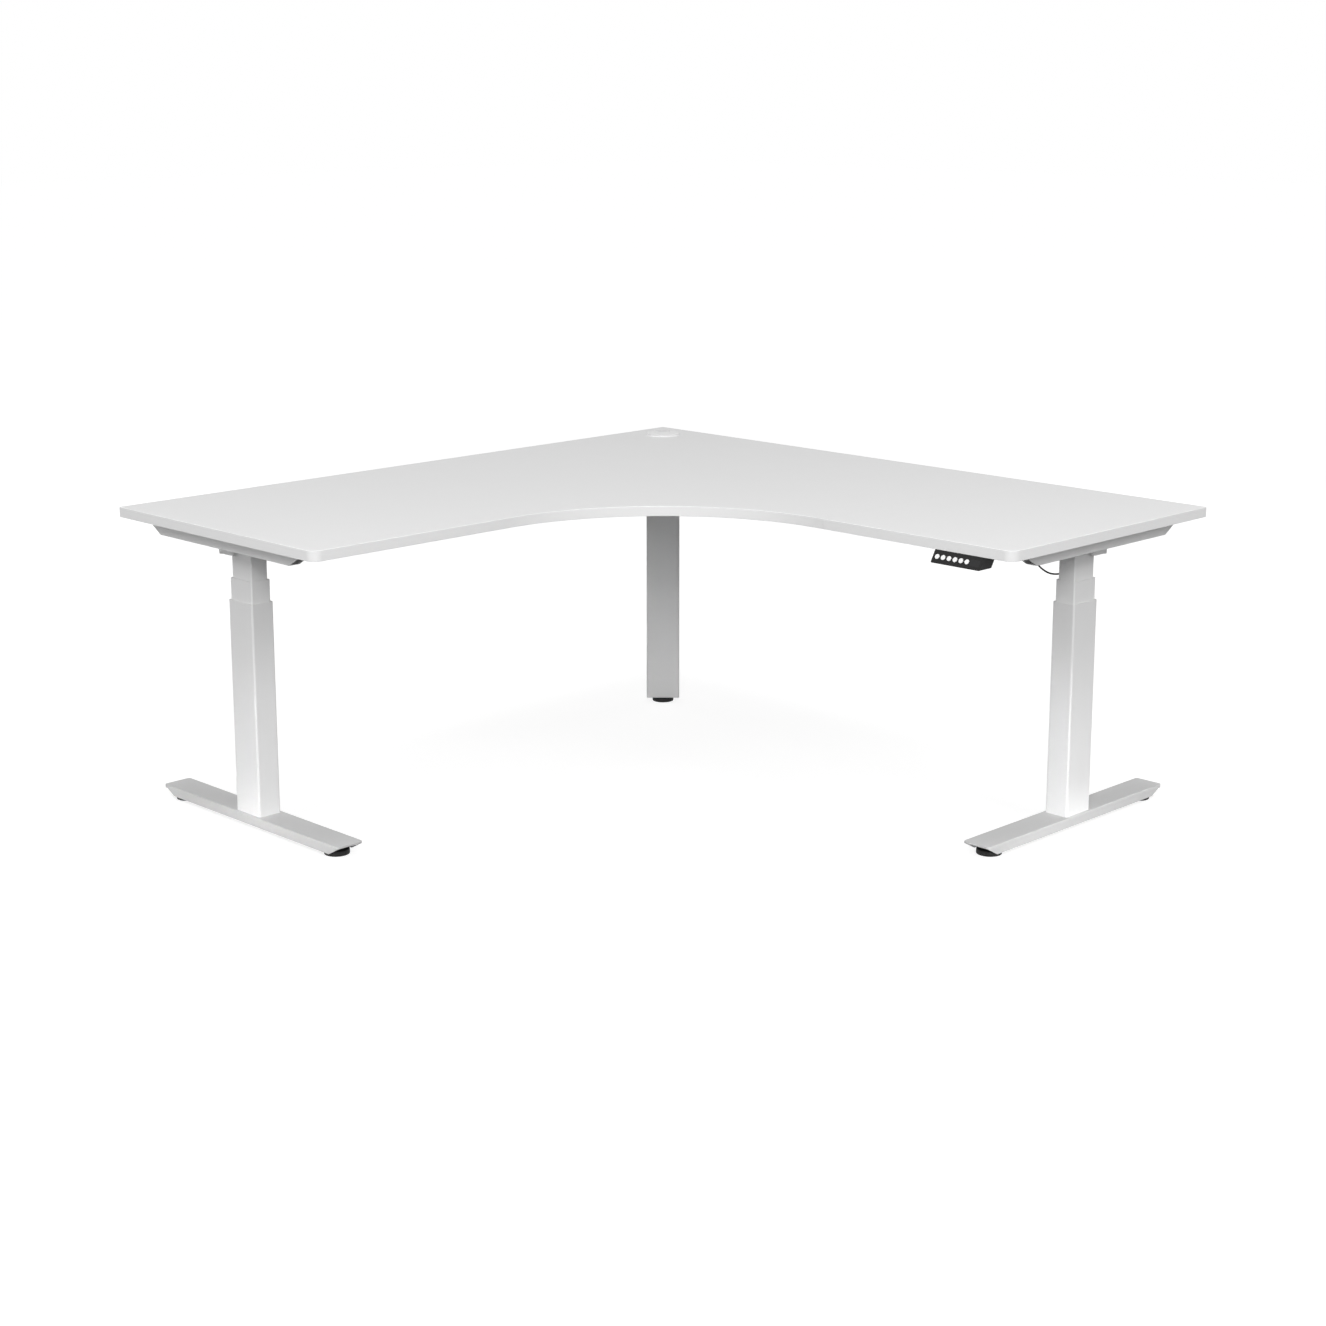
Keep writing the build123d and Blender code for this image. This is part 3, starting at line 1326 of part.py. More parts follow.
def handset_case():
    pocket_depth = (
        BUTTON_GAP + BUTTON_FLANGE_THICKNESS + BUTTON_STEM_LENGTH + BUTTON_TRAVEL + BUTTON_GAP
    )
    pocket_start = button_points()[0][0] - BUTTON_FLANGE / 2 - POCKET_MARGIN
    pocket_end = button_points()[-1][0] + BUTTON_FLANGE / 2 + POCKET_MARGIN
    with BuildPart() as case:
        add(handset_block())
        with BuildSketch(HANDSET_FACE):
            Rectangle(2 * HANDSET_LENGTH, 2 * face_height)
        extrude(amount=-FASCIA_THICKNESS, mode=Mode.SUBTRACT)
        with BuildSketch(HANDSET_FACE.offset(-FASCIA_THICKNESS)):
            with Locations(((pocket_start + pocket_end) / 2, 0)):
                Rectangle(pocket_end - pocket_start, POCKET_HEIGHT)
        extrude(amount=-pocket_depth, mode=Mode.SUBTRACT)
    return case.part


def display_place():
    return HANDSET_LENGTH / 2 - DISPLAY_FROM_END - DISPLAY_LENGTH / 2, 0


def handset_fascia():
    with BuildPart() as fascia:
        add(handset_block())
        with BuildSketch(HANDSET_FACE):
            Rectangle(2 * HANDSET_LENGTH, 2 * face_height)
        extrude(amount=-FASCIA_THICKNESS, mode=Mode.INTERSECT)
        with BuildSketch(HANDSET_FACE):
            with Locations(*button_points()):
                Circle(BUTTON_DIAMETER / 2 + BUTTON_CLEARANCE)
        extrude(amount=-FASCIA_THICKNESS, mode=Mode.SUBTRACT)
        with BuildSketch(HANDSET_FACE):
            with Locations(display_place()):
                Rectangle(DISPLAY_LENGTH, DISPLAY_HEIGHT)
        extrude(amount=-DISPLAY_THICKNESS, mode=Mode.SUBTRACT)
    return fascia.part


def handset_display():
    with BuildPart() as display:
        with BuildSketch(HANDSET_FACE):
            with Locations(display_place()):
                Rectangle(DISPLAY_LENGTH, DISPLAY_HEIGHT)
        extrude(amount=-DISPLAY_THICKNESS)
    return display.part


def button(place):
    """Push button: domed cap, retaining flange behind the fascia and a stem."""
    behind = FASCIA_THICKNESS + BUTTON_GAP
    spot = HANDSET_FACE.from_local_coords((place[0], place[1], 0))
    plane = Plane(origin=spot, x_dir=(1, 0, 0), z_dir=face_normal)
    with BuildPart() as key:
        with BuildSketch(plane.offset(BUTTON_PROUD)):
            Circle(BUTTON_DIAMETER / 2)
        extrude(amount=-BUTTON_PROUD - behind)
        front = key.faces().sort_by(Axis(plane.origin, plane.z_dir))[-1]
        fillet(front.edges(), BUTTON_PROUD / 2)
        with BuildSketch(plane.offset(-behind)):
            Circle(BUTTON_FLANGE / 2)
        extrude(amount=-BUTTON_FLANGE_THICKNESS)
        with BuildSketch(plane.offset(-behind - BUTTON_FLANGE_THICKNESS)):
            Circle(BUTTON_STEM / 2)
        extrude(amount=-BUTTON_STEM_LENGTH)
    return key.part


# ----------------------------------------------------------------------- motor lead


def route_points():
    """The lead's route in world coordinates."""
    return [
        Vector(*on_right_wing(leg_u + along, LEG_FROM_WALL + inward), underside + level)
        for along, inward, level in LEAD_ROUTE
    ]


def route_radii(points):
    """Largest arc that each corner's two runs allow."""
    radii = []
    for before, corner, after in zip(points, points[1:], points[2:]):
        turn = (corner - before).get_angle(after - corner)
        shorter = min((corner - before).length, (after - corner).length)
        radii.append(LEAD_ARC_SHARE * shorter / tan(radians(turn) / 2))
    return radii


def motor_lead():
    points = route_points()
    radii = route_radii(points)
    print("lead radii", [round(r, 1) for r in radii])
    with BuildPart() as lead:
        with BuildLine() as path:
            FilletPolyline(*points, radius=radii)
        route = path.wire()
        with BuildSketch(Plane(origin=route @ 0, z_dir=route % 0)):
            Circle(LEAD_DIAMETER / 2)
        sweep()
    length = route.length
    section = Circle(LEAD_DIAMETER / 2, mode=Mode.PRIVATE).area
    print("lead length", round(length, 1), "volume ratio", lead.part.volume / (length * section))
    return lead.part


def lead_gland():
    """Grommet through the right motor cover's floor, round the lead's first stretch."""
    exit_point = route_points()[0]
    steps = (
        (GLAND_NECK, GLAND_NECK_LENGTH, 0),
        (GLAND_HEAD, -GLAND_HEAD_LENGTH, 0),
        (GLAND_BOOT, -GLAND_BOOT_LENGTH, -GLAND_HEAD_LENGTH),
    )
    with BuildPart() as gland:
        for diameter, length, start in steps:
            with BuildSketch(Plane(origin=(exit_point.X, exit_point.Y, cover_bottom + start))):
                Circle(diameter / 2)
            extrude(amount=length)
    return gland.part


def cover_with_gland_hole(cover):
    """The right motor cover, drilled for the lead's gland."""
    exit_point = route_points()[0]
    with BuildPart() as drilled:
        add(cover)
        with BuildSketch(Plane(origin=(exit_point.X, exit_point.Y, cover_bottom))):
            Circle(GLAND_NECK / 2 + HOLE_CLEARANCE)
        extrude(amount=COVER_WALL, mode=Mode.SUBTRACT)
    return drilled.part


def lead_plug():
    """Plug on the lead's far end, seated in the control box's middle socket."""
    seat = socket_places()[SOCKET_COUNT // 2]
    body_end = box_end + PLUG_BODY_LENGTH
    width, height = SOCKET_WIDTH - 2 * PLUG_FIT, SOCKET_HEIGHT - 2 * PLUG_FIT
    with BuildPart() as plug:
        with BuildSketch(along_wing(body_end)):
            with Locations((seat, socket_level())):
                RectangleRounded(width, height, PLUG_CORNER)
        extrude(amount=PLUG_BODY_LENGTH + PLUG_SEAT)
        with BuildSketch(along_wing(body_end)):
            with Locations((seat, socket_level())):
                Circle(GLAND_BOOT / 2)
        extrude(amount=-PLUG_BOOT_LENGTH)
    return plug.part


# -------------------------------------------------------------------- the whole desk

# Worktop
screw_places = all_screw_points()
save(panel(False, screw_places["in_corner_panel"]), "worktop_corner")
save(panel(True, screw_places["in_extension"]), "worktop_extension")
save(joined([edge_band(False), edge_band(True)]), "edge_bands")
save(panel_dowels(), "panel_dowels")
save(joint_plates(), "joint_plates")
save(worktop_screws(), "worktop_screws")
save(port_liner(), "cable_port_liner")
save(port_cap(), "cable_port_cap")

# Columns: one node for each tube, and the small inner pieces of one body as a group
for side, tube in on_all_legs(outer_tube).items():
    save(tube, f"outer_tube_{side}")
for side, tube in on_all_legs(mid_tube).items():
    save(tube, f"mid_tube_{side}")
for side, tube in on_all_legs(inner_tube).items():
    save(tube, f"inner_tube_{side}")
for side, spindle in on_all_legs(mid_spindle).items():
    save(spindle, f"mid_spindle_{side}")
save(joined(on_all_legs(inner_glide).values()), "inner_glides")
save(joined(on_all_legs(mouth_ring).values()), "mouth_glides")
save(joined(on_all_legs(base_screw).values()), "base_screws")
save(joined(on_all_legs(drive_tube).values()), "drive_tubes")

# Column heads, brackets and crossbeams
right_plate = side_head_plate()
save(right_plate, "head_plate_right")
save(mirrored(right_plate), "head_plate_left")
save(corner_head_plate(), "head_plate_rear")
save(joined(on_all_legs(gearbox).values()), "gearboxes")
save(joined(on_all_legs(motor).values()), "motors")
covers = on_all_legs(motor_cover)
covers["right"] = cover_with_gland_hole(covers["right"])
for side, cover in covers.items():
    save(cover, f"motor_cover_{side}")
right_bracket = side_bracket()
save(right_bracket, "side_bracket_right")
save(mirrored(right_bracket), "side_bracket_left")
strips = bracket_gaskets()
save(joined([strips, mirrored(strips), corner_spacers()]), "rubber_strips")
beam, slide = crossbeam(), crossbeam_slide()
save(joined([beam, mirrored(beam)]), "crossbeams")
save(joined([slide, mirrored(slide)]), "crossbeam_slides")
save(frame_bolts(), "frame_bolts")

# Feet
right_foot = foot()
save(right_foot, "foot_right")
save(mirrored(right_foot), "foot_left")
save(rear_foot(), "rear_foot")
save(joined(on_all_legs(foot_bolts).values()), "foot_bolts")
for end, (u, v) in zip(("wall", "front"), foot_pad_points()):
    x, y = on_right_wing(u, v)
    save(levelling_pad(x, y), f"levelling_pad_right_{end}")
    save(levelling_pad(-y, -x), f"levelling_pad_left_{end}")
save(levelling_pad(rear_x, rear_y), "levelling_pad_rear")

# Control box, handset and motor lead
save(control_box(), "control_box")
save(handset_case(), "handset_case")
save(handset_fascia(), "handset_fascia")
save(handset_display(), "handset_display")
button_names = ("down", "up", "one", "two", "three", "store")
for name, place in zip(button_names, button_points()):
    save(button(place), f"handset_button_{name}")
save(lead_gland(), "lead_gland")
save(motor_lead(), "motor_lead")
save(lead_plug(), "motor_lead_plug")
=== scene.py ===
"""Looks for a white corner standing desk on three lifting columns.

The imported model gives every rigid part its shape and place.  This script dresses those
parts, replaces the small ones that carry fine relief, and sets up the studio.
All lengths are metres.
"""

import json
import logging
import math
from collections.abc import Callable
from dataclasses import dataclass, field
from enum import Enum

import bmesh
import bpy
import numpy as np
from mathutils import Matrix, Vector

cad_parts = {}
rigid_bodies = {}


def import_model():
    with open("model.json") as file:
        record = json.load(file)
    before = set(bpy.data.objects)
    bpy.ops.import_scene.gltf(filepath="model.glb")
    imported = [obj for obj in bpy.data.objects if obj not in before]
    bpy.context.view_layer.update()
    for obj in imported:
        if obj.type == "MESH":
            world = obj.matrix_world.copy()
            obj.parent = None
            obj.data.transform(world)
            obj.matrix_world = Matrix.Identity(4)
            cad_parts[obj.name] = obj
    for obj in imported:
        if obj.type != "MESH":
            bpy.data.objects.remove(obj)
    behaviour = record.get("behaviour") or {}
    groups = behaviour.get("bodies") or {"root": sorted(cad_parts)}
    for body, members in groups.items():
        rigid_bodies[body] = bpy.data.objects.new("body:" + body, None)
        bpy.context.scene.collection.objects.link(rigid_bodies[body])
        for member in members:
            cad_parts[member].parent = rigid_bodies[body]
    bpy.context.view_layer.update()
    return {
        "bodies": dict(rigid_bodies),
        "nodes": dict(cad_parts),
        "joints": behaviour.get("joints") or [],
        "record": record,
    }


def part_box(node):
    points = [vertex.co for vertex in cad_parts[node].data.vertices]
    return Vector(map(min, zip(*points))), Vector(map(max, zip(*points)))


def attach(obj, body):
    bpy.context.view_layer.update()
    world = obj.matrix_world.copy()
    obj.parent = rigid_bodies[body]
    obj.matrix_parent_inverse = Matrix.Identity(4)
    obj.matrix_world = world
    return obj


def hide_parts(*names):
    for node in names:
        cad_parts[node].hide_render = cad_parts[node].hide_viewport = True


LOG = logging.getLogger("desk")

# Detail levels of the noise nodes, and how far brushing draws a grain out along z
PATCH_DETAIL = 3.0
PEEL_DETAIL = 1.0
FINE_DETAIL = 4.0
BRUSHED_SCALE = (1.0, 1.0, 0.04)

# Points closer than this are one, and edges sharper than this stay sharp, in degrees
MERGE_DISTANCE = 0.000001
PLACE_DIGITS = 6
SHARP_ANGLE = 32.0


# ------------------------------------------------------------------------- finishes


class Grain(Enum):
    """The kinds of fine relief that a finish can have."""

    ORANGE_PEEL = "orange peel"
    PEARL = "pearl"
    MOULDED = "moulded"
    BRUSHED = "brushed"
    CAST = "cast"


@dataclass(frozen=True)
class Finish:
    """A surface finish: its colour, its shine and its fine relief.

    Attributes:
        name: The material's name.
        colour: Base colour, linear.
        roughness: Middle value of the roughness.
        metallic: 1 for bare metal, 0 for everything else.
        mottle: Share by which the colour wanders up and down.
        mottle_size: Size of the colour's patches.
        shine_wander: How far the roughness wanders up and down.
        grain: Kind of fine relief.
        grain_size: Size of one grain.
        grain_height: Height of the relief.
        coat: Weight of a clear gloss coat.
        specular: Strength of the plain mirror shine.
    """

    name: str
    colour: tuple[float, float, float]
    roughness: float
    metallic: float = 0.0
    mottle: float = 0.012
    mottle_size: float = 0.06
    shine_wander: float = 0.05
    grain: Grain = Grain.MOULDED
    grain_size: float = 0.0006
    grain_height: float = 0.00002
    coat: float = 0.0
    specular: float = 0.5

    def material(self) -> bpy.types.Material:
        """Build the finish's material, or return it if it is already there.

        Returns:
            A node material that reads Object coordinates.
        """
        found = bpy.data.materials.get(self.name)
        if found is not None:
            return found
        made = bpy.data.materials.new(self.name)
        made.use_nodes = True
        nodes, links = made.node_tree.nodes, made.node_tree.links
        shader = nodes["Principled BSDF"]
        shader.inputs["Metallic"].default_value = self.metallic
        shader.inputs["Coat Weight"].default_value = self.coat
        shader.inputs["Specular IOR Level"].default_value = self.specular
        place = nodes.new("ShaderNodeTexCoord")

        patches = nodes.new("ShaderNodeTexNoise")
        patches.inputs["Scale"].default_value = 1.0 / self.mottle_size
        patches.inputs["Detail"].default_value = PATCH_DETAIL
        links.new(place.outputs["Object"], patches.inputs["Vector"])
        tint = nodes.new("ShaderNodeMix")
        tint.data_type = "RGBA"
        tint.inputs["A"].default_value = self._shade(1.0 - self.mottle)
        tint.inputs["B"].default_value = self._shade(1.0 + self.mottle)
        links.new(patches.outputs["Fac"], tint.inputs["Factor"])
        links.new(tint.outputs["Result"], shader.inputs["Base Color"])

        shine = nodes.new("ShaderNodeMapRange")
        shine.inputs["To Min"].default_value = self.roughness - self.shine_wander
        shine.inputs["To Max"].default_value = self.roughness + self.shine_wander
        links.new(patches.outputs["Fac"], shine.inputs["Value"])
        links.new(shine.outputs["Result"], shader.inputs["Roughness"])

        relief = nodes.new("ShaderNodeBump")
        relief.inputs["Strength"].default_value = 1.0
        relief.inputs["Distance"].default_value = self.grain_height
        links.new(self._grain_height(nodes, links, place), relief.inputs["Height"])
        links.new(relief.outputs["Normal"], shader.inputs["Normal"])
        return made

    def _shade(self, factor: float) -> tuple[float, float, float, float]:
        """Return the base colour times a factor, as four numbers."""
        return (*(min(1.0, channel * factor) for channel in self.colour), 1.0)

    def _grain_height(
        self,
        nodes: bpy.types.Nodes,
        links: bpy.types.NodeLinks,
        place: bpy.types.Node,
    ) -> bpy.types.NodeSocket:
        """Add the nodes of the fine relief.

        Args:
            nodes: The material's nodes.
            links: The material's links.
            place: The texture coordinate node.

        Returns:
            The socket that carries the relief's height from 0 to 1.
        """
        stretch = nodes.new("ShaderNodeMapping")
        if self.grain is Grain.BRUSHED:
            stretch.inputs["Scale"].default_value = BRUSHED_SCALE
        links.new(place.outputs["Object"], stretch.inputs["Vector"])
        if self.grain in (Grain.PEARL, Grain.CAST):
            cells = nodes.new("ShaderNodeTexVoronoi")
            cells.feature = "SMOOTH_F1"
            cells.inputs["Scale"].default_value = 1.0 / self.grain_size
            links.new(stretch.outputs["Vector"], cells.inputs["Vector"])
            return cells.outputs["Distance"]
        noise = nodes.new("ShaderNodeTexNoise")
        noise.inputs["Scale"].default_value = 1.0 / self.grain_size
        peel = self.grain is Grain.ORANGE_PEEL
        noise.inputs["Detail"].default_value = PEEL_DETAIL if peel else FINE_DETAIL
        links.new(stretch.outputs["Vector"], noise.inputs["Vector"])
        return noise.outputs["Fac"]


MELAMINE = Finish(
    "white_melamine", (0.79, 0.79, 0.79), 0.7, specular=0.15, grain=Grain.PEARL,
    grain_size=0.0009, grain_height=0.00002, mottle=0.008, mottle_size=0.12,
)
# The edge band is whiter than the board, 0.94 against 0.79: partly the band's own white, partly
# painted light that stands in for its sheen.
EDGE_BAND_WITH_PAINTED_SHEEN = Finish(
    "white_edge_band_with_painted_sheen", (0.94, 0.94, 0.94), 0.35, grain=Grain.MOULDED, coat=0.4,
    grain_size=0.0012, grain_height=0.00001,
)
POWDER_COAT = Finish(
    "white_powder_coat", (0.84, 0.84, 0.84), 0.42, grain=Grain.ORANGE_PEEL,
    grain_size=0.0016, grain_height=0.00006, mottle=0.01,
)
# The feet take a darker copy of the columns' white powder coat, 0.62 against 0.84: painted shade
# that stands in for the worktop's shadow on the feet's tops.
FOOT_COAT_PAINTED_SHADE = Finish(
    "satin_white_foot_coat_with_painted_shade", (0.62, 0.62, 0.62), 0.45, specular=0.3, grain=Grain.ORANGE_PEEL,
    grain_size=0.0016, grain_height=0.00006, mottle=0.01,
)
ZINC_STEEL = Finish(
    "zinc_plated_steel", (0.58, 0.58, 0.57), 0.34, metallic=1.0, mottle=0.08,
    mottle_size=0.006, grain=Grain.BRUSHED, grain_size=0.0005, grain_height=0.00001,
)
GROUND_STEEL = Finish(
    "ground_steel", (0.5, 0.5, 0.5), 0.28, metallic=1.0, mottle=0.05,
    mottle_size=0.02, grain=Grain.BRUSHED, grain_size=0.0004, grain_height=0.00001,
)
CAST_ALUMINIUM = Finish(
    "cast_aluminium", (0.6, 0.6, 0.61), 0.5, metallic=1.0, mottle=0.06,
    mottle_size=0.02, grain=Grain.CAST, grain_size=0.0015, grain_height=0.0001,
)
MOTOR_PAINT = Finish(
    "black_motor_paint", (0.03, 0.03, 0.03), 0.4, grain=Grain.ORANGE_PEEL,
    grain_size=0.002, grain_height=0.00004, mottle=0.1,
)
GLIDE_PLASTIC = Finish(
    "natural_glide_plastic", (0.74, 0.74, 0.71), 0.4, mottle=0.02, mottle_size=0.01,
)
PORT_WHITE = Finish(
    "white_port_plastic", (0.9, 0.9, 0.9), 0.38, mottle_size=0.01,
    grain_size=0.0008, grain_height=0.00001,
)
PORT_GREY = Finish(
    "pale_port_cap", (0.78, 0.78, 0.78), 0.55, mottle_size=0.01,
    grain_size=0.0005, grain_height=0.00003,
)
BLACK_PLASTIC = Finish(
    "black_fine_textured_plastic", (0.012, 0.012, 0.012), 0.5, mottle=0.15, specular=0.2,
    mottle_size=0.01, grain=Grain.PEARL, grain_size=0.0005, grain_height=0.00005,
)
PAD_PLASTIC = Finish(
    "black_pad_plastic", (0.012, 0.012, 0.012), 0.6, specular=0.25, mottle=0.2, mottle_size=0.008,
    grain_size=0.0009, grain_height=0.00006,
)
BLACK_RUBBER = Finish(
    "black_rubber", (0.012, 0.012, 0.012), 0.7, specular=0.3, mottle=0.2, mottle_size=0.005,
    grain_size=0.0004, grain_height=0.00003,
)
DISPLAY_GLASS = Finish(
    "dark_display_window", (0.008, 0.008, 0.009), 0.16, specular=0.3, mottle=0.05,
    shine_wander=0.02, mottle_size=0.01, grain_size=0.004, grain_height=0.000004, coat=0.2,
)
BUTTON_WHITE = Finish(
    "white_button_plastic", (0.93, 0.93, 0.93), 0.45, mottle=0.01, mottle_size=0.003,
    grain_size=0.0004, grain_height=0.00001,
)
BEECH = Finish(
    "bare_beech", (0.55, 0.38, 0.22), 0.65, mottle=0.2, mottle_size=0.004,
    grain=Grain.MOULDED, grain_size=0.0008, grain_height=0.00005,
)

# Which finish each of the record's material slots takes
SLOT_FINISH: dict[str, Finish] = {
    "board": MELAMINE,
    "edge_band": EDGE_BAND_WITH_PAINTED_SHEEN,
    "white_steel": POWDER_COAT,
    "bare_steel": ZINC_STEEL,
    "cast_case": CAST_ALUMINIUM,
    "motor_steel": MOTOR_PAINT,
    "glide": GLIDE_PLASTIC,
    "dowel": BEECH,
    "port": PORT_WHITE,
    "port_cap": PORT_GREY,
    "rubber_black": BLACK_RUBBER,
    "pad_black": PAD_PLASTIC,
    "box_black": BLACK_PLASTIC,
    "display_black": DISPLAY_GLASS,
    "button_white": BUTTON_WHITE,
    "lead_black": BLACK_RUBBER,
}
# Parts that leave their slot's usual finish; the feet's darker coat is painted shade
NODE_FINISH: dict[str, Finish] = {
    "foot_right": FOOT_COAT_PAINTED_SHADE,
    "foot_left": FOOT_COAT_PAINTED_SHADE,
    "base_screws": GROUND_STEEL,
    "drive_tubes": GROUND_STEEL,
    "mid_spindle_right": GROUND_STEEL,
    "mid_spindle_left": GROUND_STEEL,
    "mid_spindle_rear": GROUND_STEEL,
}


# ------------------------------------------------------------------ surfaces and meshes


def grid_quads(rows: int, columns: int) -> np.ndarray:
    """Return the quads of a grid whose columns close on themselves.

    Args:
        rows: Number of points along the profile.
        columns: Number of points round the section.

    Returns:
        An array of four vertex numbers for each quad.
    """
    row = np.arange(rows - 1)[:, None]
    column = np.arange(columns)[None, :]
    following = (column + 1) % columns
    corners = (
        row * columns + column,
        row * columns + following,
        (row + 1) * columns + following,
        (row + 1) * columns + column,
    )
    return np.stack([np.broadcast_to(c, (rows - 1, columns)) for c in corners], -1).reshape(-1, 4)


def make_piece(
    name: str, shells: list[np.ndarray], finish: Finish, body: str
) -> bpy.types.Object:
    """Make one object from shells, each a grid of points closed round its columns.

    Points that fall together, as where a shell ends in a pole, are merged, and the
    faces of each shell are turned outwards.

    Args:
        name: The piece's name.
        shells: Arrays of shape (rows, columns, 3), in world metres.
        finish: The finish to dress it in.
        body: The body that it rides on.

    Returns:
        The finished object, at the origin.
    """
    offsets = np.cumsum([0] + [shell.shape[0] * shell.shape[1] for shell in shells])
    points = np.concatenate([shell.reshape(-1, 3) for shell in shells])
    quads = np.concatenate(
        [grid_quads(*shell.shape[:2]) + start for shell, start in zip(shells, offsets)]
    )
    mesh = bpy.data.meshes.new(name)
    mesh.from_pydata(points.tolist(), [], quads.tolist())
    work = bmesh.new()
    work.from_mesh(mesh)
    bmesh.ops.remove_doubles(work, verts=work.verts, dist=MERGE_DISTANCE)
    bmesh.ops.recalc_face_normals(work, faces=work.faces)
    work.to_mesh(mesh)
    work.free()
    mesh.materials.append(finish.material())
    piece = bpy.data.objects.new(name, mesh)
    bpy.context.scene.collection.objects.link(piece)
    mesh.shade_smooth()
    mesh.set_sharp_from_angle(angle=math.radians(SHARP_ANGLE))
    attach(piece, body)
    LOG.info("%s: %d faces, on %s", name, len(mesh.polygons), body)
    return piece


def turned(
    profile: np.ndarray, columns: int, shape: Callable[[np.ndarray, np.ndarray], np.ndarray]
) -> np.ndarray:
    """Turn a profile about the z axis, with a radius that may change with the angle.

    A point of the surface is (R cos a, R sin a, z), where a is the angle and R is what
    shape makes of the profile's radius at that row and angle.

    Args:
        profile: Rows of (radius, height, weight); shape reads the weight.
        columns: Number of steps round the axis.
        shape: Gives the radius from the profile's rows and the angles.

    Returns:
        A grid of points of shape (rows, columns, 3).
    """
    angle = np.linspace(0.0, 2.0 * np.pi, columns, endpoint=False)[None, :]
    radius = shape(profile, angle)
    height = np.broadcast_to(profile[:, 1:2], radius.shape)
    return np.stack([radius * np.cos(angle), radius * np.sin(angle), height], -1)


def plain_circle(profile: np.ndarray, angle: np.ndarray) -> np.ndarray:
    """Return the profile's own radius at every angle."""
    return profile[:, 0:1] * np.ones_like(angle)


@dataclass(frozen=True)
class Island:
    """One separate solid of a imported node.

    Attributes:
        low: Its lowest corner.
        high: Its highest corner.
        head_up: Whether its upper half is the wider one.
    """

    low: np.ndarray
    high: np.ndarray
    head_up: bool

    @property
    def middle(self) -> np.ndarray:
        """Return the middle of the solid's box."""
        return (self.low + self.high) / 2.0


def islands(node: bpy.types.Object) -> list[Island]:
    """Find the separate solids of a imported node.

    Corners at the same place are taken as one, and each takes the lowest number among
    its triangle's corners until nothing changes, so that a solid ends with one number.

    Args:
        node: The node's object.

    Returns:
        The solids, with the end at which each is widest marked.
    """
    mesh = node.data
    places = np.empty(len(mesh.vertices) * 3)
    mesh.vertices.foreach_get("co", places)
    places = places.reshape(-1, 3)
    _, same = np.unique(np.round(places, PLACE_DIGITS), axis=0, return_inverse=True)
    same = same.reshape(-1)
    mesh.calc_loop_triangles()
    corners = np.empty(len(mesh.loop_triangles) * 3, dtype=np.int64)
    mesh.loop_triangles.foreach_get("vertices", corners)
    triangles = same[corners].reshape(-1, 3)
    label = np.arange(same.max() + 1)
    while True:
        lowest = label[triangles].min(axis=1)
        fresh = label.copy()
        np.minimum.at(fresh, triangles.reshape(-1), np.repeat(lowest, 3))
        fresh = fresh[fresh]
        if np.array_equal(fresh, label):
            break
        label = fresh
    found = []
    of_vertex = label[same]
    for number in np.unique(label):
        own = places[of_vertex == number]
        low, high = own.min(axis=0), own.max(axis=0)
        reach = np.hypot(*(own[:, :2] - (low + high)[:2] / 2.0).T)
        upper = own[:, 2] > (low[2] + high[2]) / 2.0
        found.append(Island(low, high, bool(reach[upper].max() > reach[~upper].max())))
    return found


# ------------------------------------------------------------------------ fasteners


class Recess(Enum):
    """The tool recess in a fastener's head."""

    HEX = "hexagon socket"
    CROSS = "cross recess"


@dataclass(frozen=True)
class HeadKind:
    """One kind of fastener, told by the width of its head.

    Attributes:
        head: Head diameter.
        height: Height of the head.
        shank: Shank diameter.
        recess: The kind of tool recess.
        recess_size: Width of the recess across its flats or wings.
        recess_depth: Depth of the recess.
    """

    head: float
    height: float
    shank: float
    recess: Recess
    recess_size: float
    recess_depth: float


SOCKET_BOLT = HeadKind(0.011, 0.003, 0.006, Recess.HEX, 0.004, 0.0018)
WOOD_SCREW = HeadKind(0.009, 0.0026, 0.0045, Recess.CROSS, 0.0048, 0.0016)
COVER_SCREW = HeadKind(0.008, 0.002, 0.004, Recess.CROSS, 0.0042, 0.0013)


